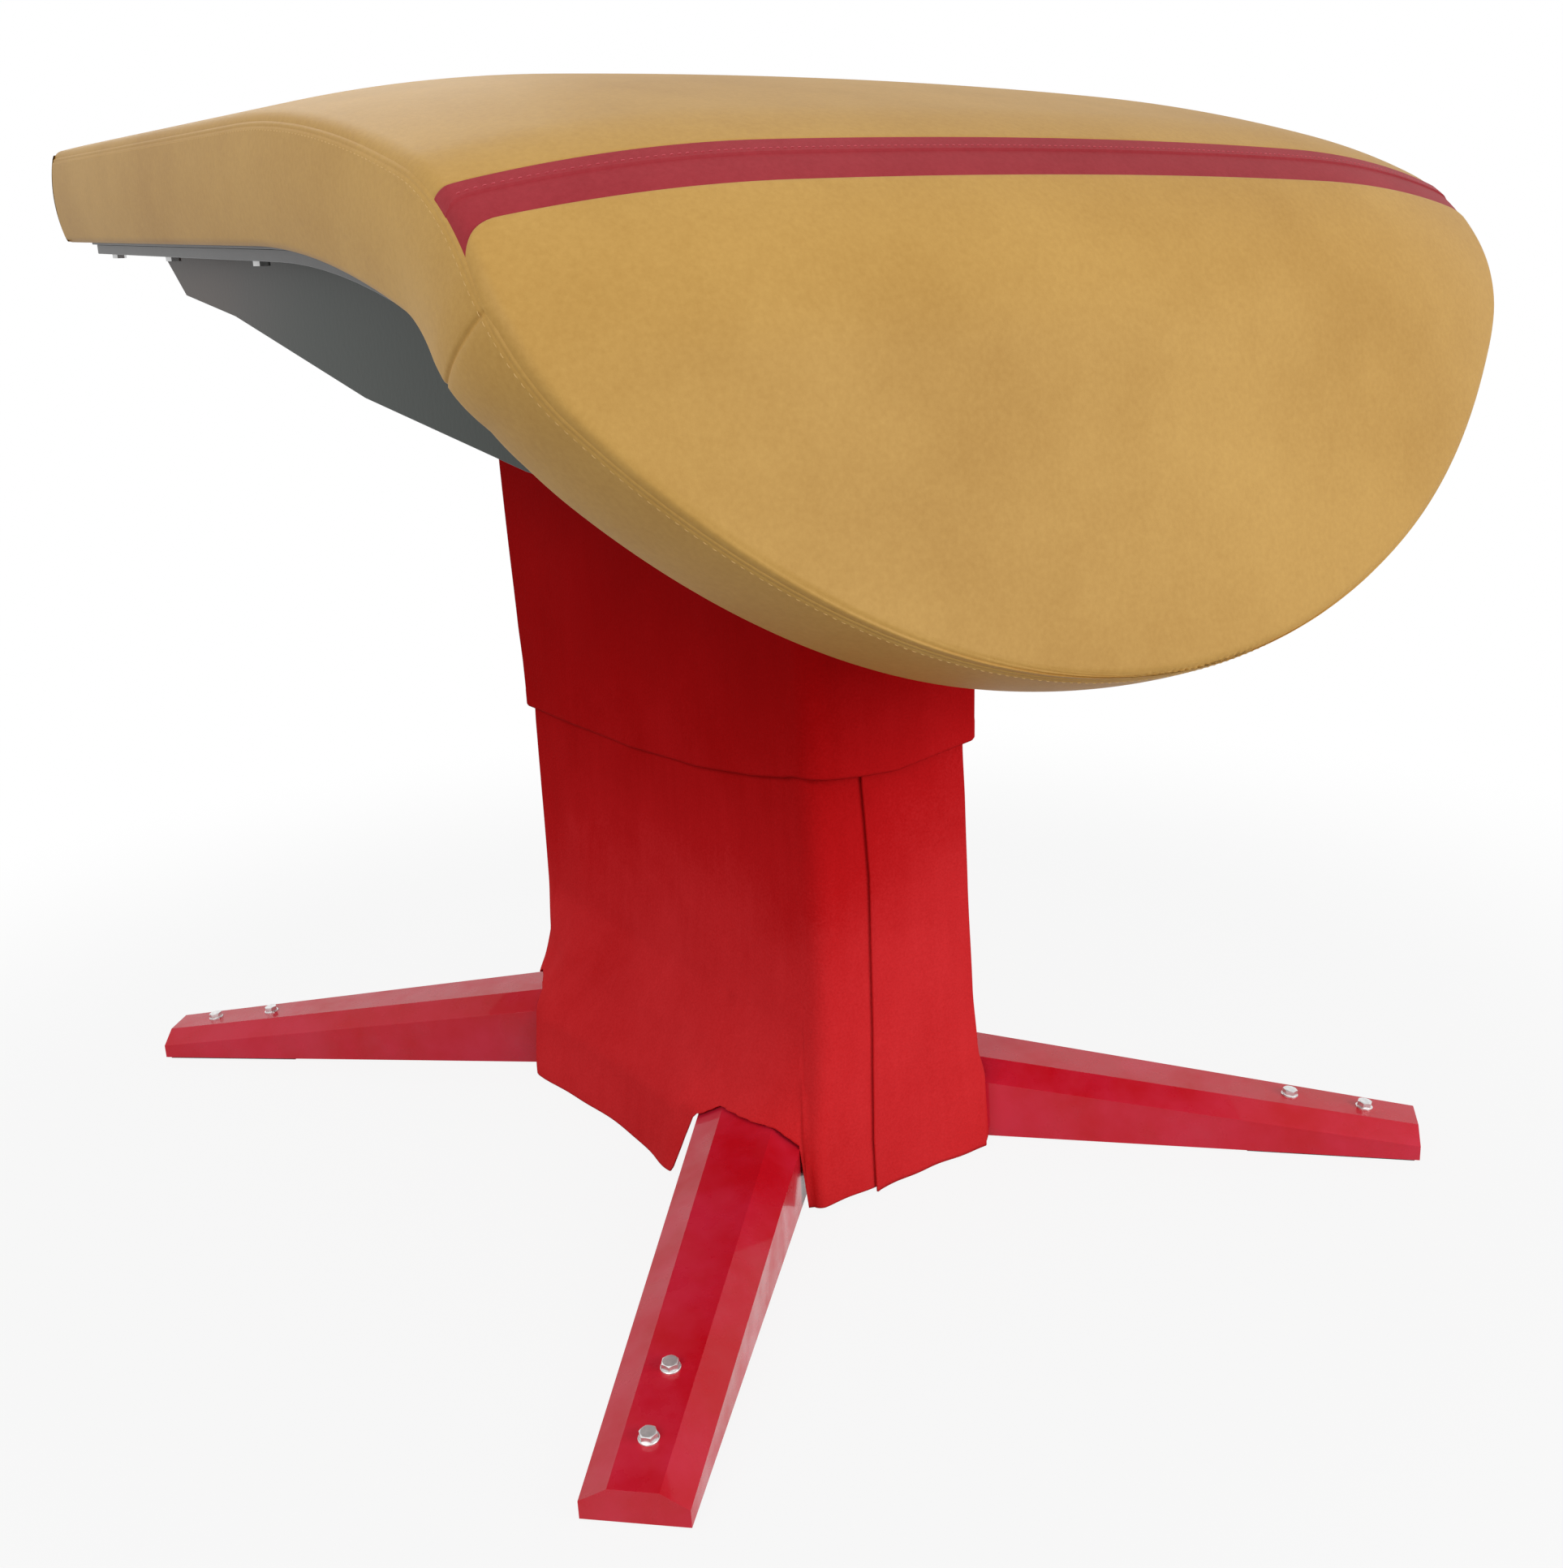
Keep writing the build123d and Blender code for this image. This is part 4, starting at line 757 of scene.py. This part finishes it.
def panel(name, row_s, raised):
    """A face panel: rows along the body, its edges rolled over, raised where it lies on another.

    Rows follow the edge's own points, so the tip is a smooth fan. A panel's height over the foam
    is given as a function of x and distance. Its rear corners are quarters of a ball.
    """
    half = np.interp(row_s, half_s, half_x)
    half[row_s >= half_s[-1]] = 0.0
    x = half[:, None] * across[None]
    distance = row_s[:, None] + seam_swing(x, half[:, None], row_s[:, None])
    points = face_point(x, distance)
    sideways = half[:, None] * (1 - np.abs(across[None]))
    near_tongue = row_s[:, None] >= cross_seam - 0.05
    gap = np.where(near_tongue, np.minimum(edge_gap(points, row_s), sideways + 1e-6), sideways)
    side_bend = np.clip(edge_roll - gap, 0, edge_roll)
    rear_bend = np.clip(edge_roll - distance, 0, edge_roll)
    bend = np.hypot(side_bend, rear_bend)
    past = np.maximum(bend - edge_roll, 0) / np.maximum(bend, 1e-9)
    x, distance = x - np.sign(x) * side_bend * past, distance + rear_bend * past
    bend = np.minimum(bend, edge_roll)
    drop = edge_roll - np.sqrt(np.maximum(edge_roll ** 2 - bend ** 2, 0))
    drop = (drop - raised(x, row_s[:, None]))[..., None]
    points = face_point(x, distance) - square_to_line(distance) * drop
    return grid_mesh(name, points, uv=np.stack([x, distance], axis=-1))


def rows_between(low, high, close_to):
    """Rows at the edge's own distances between two limits, with more rows near given places."""
    steps = np.array([-0.0035, -0.0018, -0.0009, -0.0004, 0.0, 0.0004, 0.0009, 0.0018, 0.0035])
    wanted = np.concatenate([half_s] + [place + steps for place in close_to] + [[low, high]])
    wanted = np.unique(np.round(wanted, 5))
    return wanted[(wanted >= low - 1e-6) & (wanted <= high + 1e-6)]


def tucked(distance, place, width=0.0022):
    """A panel's turned edge: it dips by a layer and a half within a width of its end."""
    return -1.5 * layer * np.clip(1 - np.abs(distance - place) / width, 0, 1) ** 2


def leather(name, dark, pale, rough):
    """Artificial leather: a fine pressed grain, faint clouds of shade, a dull sheen."""
    finish = Finish(name, Roughness=rough, Specular_IOR_Level=0.16)
    cloud, speck = finish.noise(4.0, 5.0, None, 0.62), finish.noise(240.0, 3.0, None, 0.6)
    shade = cloud * 0.72 + speck * 0.28
    finish.tint(shade, (0.34, dark), (0.66, pale))
    finish.bump(finish.noise(1100.0, 2.0) + speck * 0.5, 0.00012)
    return finish


tan_leather = leather("tan_leather", (185, 141, 71), (205, 162, 89), 0.5)
red_leather = leather("red_leather", (146, 34, 42), (168, 52, 60), 0.55)
rear_steps = [edge_roll * share for share in (0.35, 0.6, 0.8, 1.0)]
deck_panel = panel(
    "cover_deck_panel", rows_between(0, stripe_start, [0.0, *rear_steps, stripe_start]),
    lambda x, s: tucked(s, stripe_start),
)
stripe_panel = panel(
    "cover_stripe_panel",
    rows_between(stripe_start - 0.0004, stripe_end + 0.004, [stripe_start, stripe_start + stripe_fold]),
    lambda x, s: layer * (s < stripe_start + stripe_fold) + tucked(s, stripe_start - 0.0004, 0.0012),
)
tongue_panel = panel(
    "cover_tongue_panel", rows_between(stripe_end, half_s[-1], [stripe_end, half_s[-1]]),
    lambda x, s: layer + tucked(s, stripe_end, 0.0016) - layer * np.clip((s - stripe_end) / 0.15, 0, 1),
)

seam_drop = edge_roll + 0.0008
groove, groove_width = 0.0008, 0.0012
hem_roll = 0.006
under_strip = 0.024
tucked_down = edge_roll - np.array([0.0050, 0.0032, 0.0018, 0.0008])
tucked_in = np.array([0.0046, 0.0026, 0.0012, 0.0004])
fine_down = seam_drop + np.array([-0.0003, 0.0, 0.0005, 0.0010, 0.0018, 0.0028, 0.004, 0.006, 0.0085, 0.012])
wall_down = np.linspace(0.024, pad_depth - hem_roll, 20)
foot_turn = np.linspace(0, pi / 2, 8)[1:]
foot_down = pad_depth - hem_roll + (hem_roll + 0.0008) * np.sin(foot_turn)
down = np.concatenate([tucked_down, fine_down, wall_down, foot_down, [pad_depth + 0.0008] * 2])
inset = np.concatenate([
    tucked_in, np.zeros(len(fine_down) + len(wall_down)), hem_roll * (1 - np.cos(foot_turn)),
    [0.5 * under_strip, under_strip],
])
share = np.minimum(down / pad_depth, 1)
crease = groove * np.exp(-(((down - seam_drop) / groove_width) ** 2))


def along_edge(values, places):
    """Values at the edge's points mixed at fractional places between them."""
    low = np.floor(places).astype(int).clip(0, len(edge_run) - 2)
    part = (places - low).reshape(-1, *[1] * (values.ndim - 1))
    return values[low] * (1 - part) + values[low + 1] * part


def band(name, places, sewn):
    """A stretch of band: rows at places along the edge, columns from the seam down and under.

    Its first and last rows dip into a crease where that end is sewn to the next band.
    """
    lean, bulge = along_edge(band_lean[:, None], places), along_edge(band_bulge[:, None], places)
    out = lean * share + bulge * 4 * share * (1 - share) - inset - crease
    for from_end, is_sewn in ((places - places[0], sewn[0]), (places[-1] - places, sewn[1])):
        out = out - 0.0016 * is_sewn * np.exp(-((from_end[:, None] * perimeter_step / 0.0018) ** 2))
    points = along_edge(edge, places)[:, None] + along_edge(edge_out, places)[:, None] * out[..., None]
    points = points - along_edge(edge_up, places)[:, None] * down[None, :, None]
    run = along_edge(edge_run[:, None], places)
    return grid_mesh(name, points, uv=np.stack(np.broadcast_arrays(run, down[None]), axis=-1))


def edge_place(distance, side):
    """Index along the edge, as a fraction, of a distance on the right (+1) or left (-1)."""
    place = np.interp(distance, half_s, np.arange(len(half_s)))
    return place if side > 0 else len(edge_s) - 1 - place


def places_between(start, end):
    """Places along the edge with extra ones close to both ends."""
    steps = np.array([0.0, 0.0005, 0.001, 0.0018, 0.003]) / perimeter_step
    places = np.concatenate([start + steps, np.arange(np.ceil(start), end), end - steps])
    return np.unique(places.clip(start, end))


cross_right, cross_left = edge_place(cross_seam, 1), edge_place(cross_seam, -1)
rear_start = edge_roll * 0.9
band_right = band("cover_band_right", places_between(edge_place(rear_start, 1), cross_right), (0, 1))
band_left = band("cover_band_left", places_between(cross_left, edge_place(rear_start, -1)), (1, 0))
band_tongue = band("cover_band_tongue", places_between(cross_right, cross_left), (1, 1))


def rear_band(name):
    """The band across the rear end, from the crowned face down; its ends turn in quarter arcs."""
    flat_x = (seam_half - edge_roll) * np.linspace(-1, 1, 121)
    turn = np.linspace(0, pi / 2, 9)[1:]
    arc_x, arc_back = seam_half - edge_roll + edge_roll * np.sin(turn), edge_roll * (1 - np.cos(turn))
    x = np.concatenate([-arc_x[::-1], flat_x, arc_x])[:, None]
    back = np.concatenate([arc_back[::-1], 0 * flat_x, arc_back])[:, None]
    rise = crown_height(x)
    fall = (down - pad_depth) * (1 + rise / pad_depth) + pad_depth
    depth = np.where(down < pad_depth, fall, down)
    out = 4 * rear_bulge * share * (1 - share) - inset - crease
    wider = (side_flare * share + 4 * side_bulge * share * (1 - share)) / seam_half
    y = rear_y + out - back
    raised = square_to_line(np.array([0.0]))[0]
    points = np.stack([x * (1 + wider), y - depth * raised[1], rear_seam_z - depth * raised[2]], axis=-1)
    return grid_mesh(name, points[::-1], uv=np.stack(np.broadcast_arrays(x[::-1], down[None]), axis=-1))


band_rear = rear_band("cover_band_rear")
for piece, finish, slot, solids in (
    (deck_panel, tan_leather, "tan_cover", ["cover_deck", "foam_pad"]),
    (stripe_panel, red_leather, "red_cover", ["cover_stripe"]),
    (tongue_panel, tan_leather, "tan_cover", ["cover_tongue"]),
    (band_left, tan_leather, "tan_cover", ["band_left"]),
    (band_right, tan_leather, "tan_cover", ["band_right"]),
    (band_tongue, tan_leather, "tan_cover", ["band_tongue"]),
    (band_rear, tan_leather, "tan_cover", ["band_rear"]),
):
    dress(piece, finish, "head", slot, *solids)

# Stitches: thick polyester thread, in a row along the edge seam just on the band's side of it, and
# in a row that holds down the stripe's upper fold.
thread_sides = 6
thread_rings = np.linspace(-1, 1, 7)


def stitches(name, places, along, outward, length, thick):
    """Rows of stitches: short threads that swell from their ends and dip into the leather."""
    along, outward = unit(along), unit(outward)
    across_way = np.cross(along, outward)
    turn = np.linspace(0, 2 * pi, thread_sides, endpoint=False)
    radius = thick / 2 * np.sqrt(np.maximum(1 - thread_rings ** 6, 0.002))
    lift = thick * (0.42 - 0.75 * thread_rings ** 2)
    ring = places[:, None, None] + along[:, None, None] * (thread_rings * length / 2)[None, :, None, None]
    ring = ring + outward[:, None, None] * (lift[:, None] + radius[:, None] * np.sin(turn))[None, ..., None]
    ring = ring + across_way[:, None, None] * (radius[:, None] * np.cos(turn))[None, ..., None]
    count = len(thread_rings) * thread_sides
    last = count - thread_sides
    cap = np.array([[0, 1, 2, 3], [3, 4, 5, 0]])
    walls = ring_faces(len(thread_rings), thread_sides)[:, ::-1]
    faces = np.concatenate([walls, cap, (last + cap)[:, ::-1]])
    return many_mesh(name, ring.reshape(len(places), count, 3), faces)


seam_pitch, seam_stitch, seam_thread = 0.0070, 0.0046, 0.0006
stitch_down = seam_drop + 0.0028
stitch_run = np.arange(0.020, edge_run[-1] - 0.020, seam_pitch)
stitch_at = np.interp(stitch_run, edge_run, np.arange(len(edge_run)))
stitch_share = stitch_down / pad_depth
stitch_out = along_edge(band_lean[:, None], stitch_at) * stitch_share
stitch_out = stitch_out + along_edge(band_bulge[:, None], stitch_at) * 4 * stitch_share * (1 - stitch_share)
stitch_out = stitch_out - groove * np.exp(-(((stitch_down - seam_drop) / groove_width) ** 2)) - 0.0002
stitch_way = along_edge(edge_out, stitch_at)
stitch_points = along_edge(edge, stitch_at) + stitch_way * stitch_out
stitch_points = stitch_points - along_edge(edge_up, stitch_at) * stitch_down
stitch_line = along_edge(edge_along, stitch_at)
edge_stitches = stitches("edge_stitches", stitch_points, stitch_line, stitch_way, seam_stitch, seam_thread)
tan_thread = Finish("tan_thread", Roughness=0.55)
tan_thread.tint(tan_thread.noise(500.0), (0.3, (206, 164, 92)), (0.7, (228, 190, 120)))
dress(edge_stitches, tan_thread, "head", "tan_cover")

stripe_pitch, stripe_stitch, stripe_thread = 0.0055, 0.0034, 0.0006
stripe_half = float(np.interp(stripe_start, half_s, half_x))
fold_x = np.arange(-stripe_half + 0.010, stripe_half - 0.010, stripe_pitch)
fold_s = stripe_start + stripe_fold - 0.0030
fold_line = fold_s + seam_swing(fold_x, stripe_half, np.full_like(fold_x, fold_s))
fold_out = square_to_line(fold_line)
fold_points = face_point(fold_x, fold_line) + fold_out * (layer - 0.0001)
stripe_stitches = stitches(
    "stripe_stitches", fold_points, np.gradient(fold_points, axis=0), fold_out, stripe_stitch, stripe_thread,
)
red_thread = Finish("red_thread", Roughness=0.55)
red_thread.tint(red_thread.noise(500.0), (0.3, (186, 56, 70)), (0.7, (208, 84, 96)))
dress(stripe_stitches, red_thread, "head", "red_cover")

# Studio: a pale floor that shows the table's shadow and fades to white further out, a white surround,
# and four soft lamps: a weak one above, one at the left, one at the front and a long one behind.
far = 14.0
floor_points = np.stack(np.meshgrid([-far, far], [-far, far]) + [np.zeros((2, 2))], axis=-1)
floor = grid_mesh("studio_floor", floor_points)
floor_finish = Finish("studio_floor", Roughness=0.9)
floor_finish.feed("Base Color", floor_finish.noise(1.0).ramp((0.3, 0.40), (0.7, 0.42)))
floor_x, floor_y, _ = floor_finish.split()


def seen_directly(tree):
    """1 for rays that show the surround itself, straight, in a reflection or through something."""
    rays = [add_node(tree, "ShaderNodeLightPath", {}, {}, name) for name in
            ("Is Camera Ray", "Is Glossy Ray", "Is Transmission Ray")]
    return (rays[0] + rays[1] + rays[2]).maths("MINIMUM", 1.0)


near_white = 0.90
fade = floor_finish.between((floor_x * floor_x + floor_y * floor_y).maths("SQRT"), 0.75, 1.7)
white_share = (fade * (1 - near_white) + near_white) * seen_directly(floor_finish.tree)
white = floor_finish.node("ShaderNodeEmission", {}, {"Color": (1.0, 1.0, 1.0, 1.0), "Strength": 1.0})
plain = Shade(floor_finish.tree, floor_finish.shader.outputs[0])
blend = floor_finish.node("ShaderNodeMixShader", {}, {0: white_share, 1: plain, 2: white})
floor_finish.tree.links.new(blend.socket, floor_finish.tree.nodes["Material Output"].inputs["Surface"])
floor.data.materials.append(floor_finish.material)


def lamp(name, place, target, wide, high, watts):
    """An oblong soft lamp that faces a target and isn't seen by the camera."""
    data = bpy.data.lights.new(name, "AREA")
    data.shape = "RECTANGLE"
    data.size, data.size_y, data.energy = wide, high, watts
    light = bpy.data.objects.new(name, data)
    light.location = place
    light.rotation_euler = (Vector(target) - Vector(place)).to_track_quat("-Z", "Y").to_euler()
    light.visible_camera = False
    bpy.context.scene.collection.objects.link(light)


middle = (0, 0, 0.6)
lamp("top_lamp", (0.2, 0.9, 3.4), middle, 2.6, 2.6, 3)
lamp("left_lamp", (-2.9, -1.7, 2.3), middle, 2.0, 2.0, 38)
lamp("front_lamp", (1.2, -3.3, 1.15), middle, 1.8, 1.8, 46)
lamp("back_lamp", (0.3, 3.6, 3.2), middle, 2.4, 0.7, 18)

world = bpy.data.worlds.new("studio")
bpy.context.scene.world = world
world.use_nodes = True
room = world.node_tree.nodes["Background"]
room.inputs["Color"].default_value = (1, 1, 1, 1)
diffuse_level = 0.48
level = seen_directly(world.node_tree) * (1 - diffuse_level) + diffuse_level
world.node_tree.links.new(level.socket, room.inputs["Strength"])
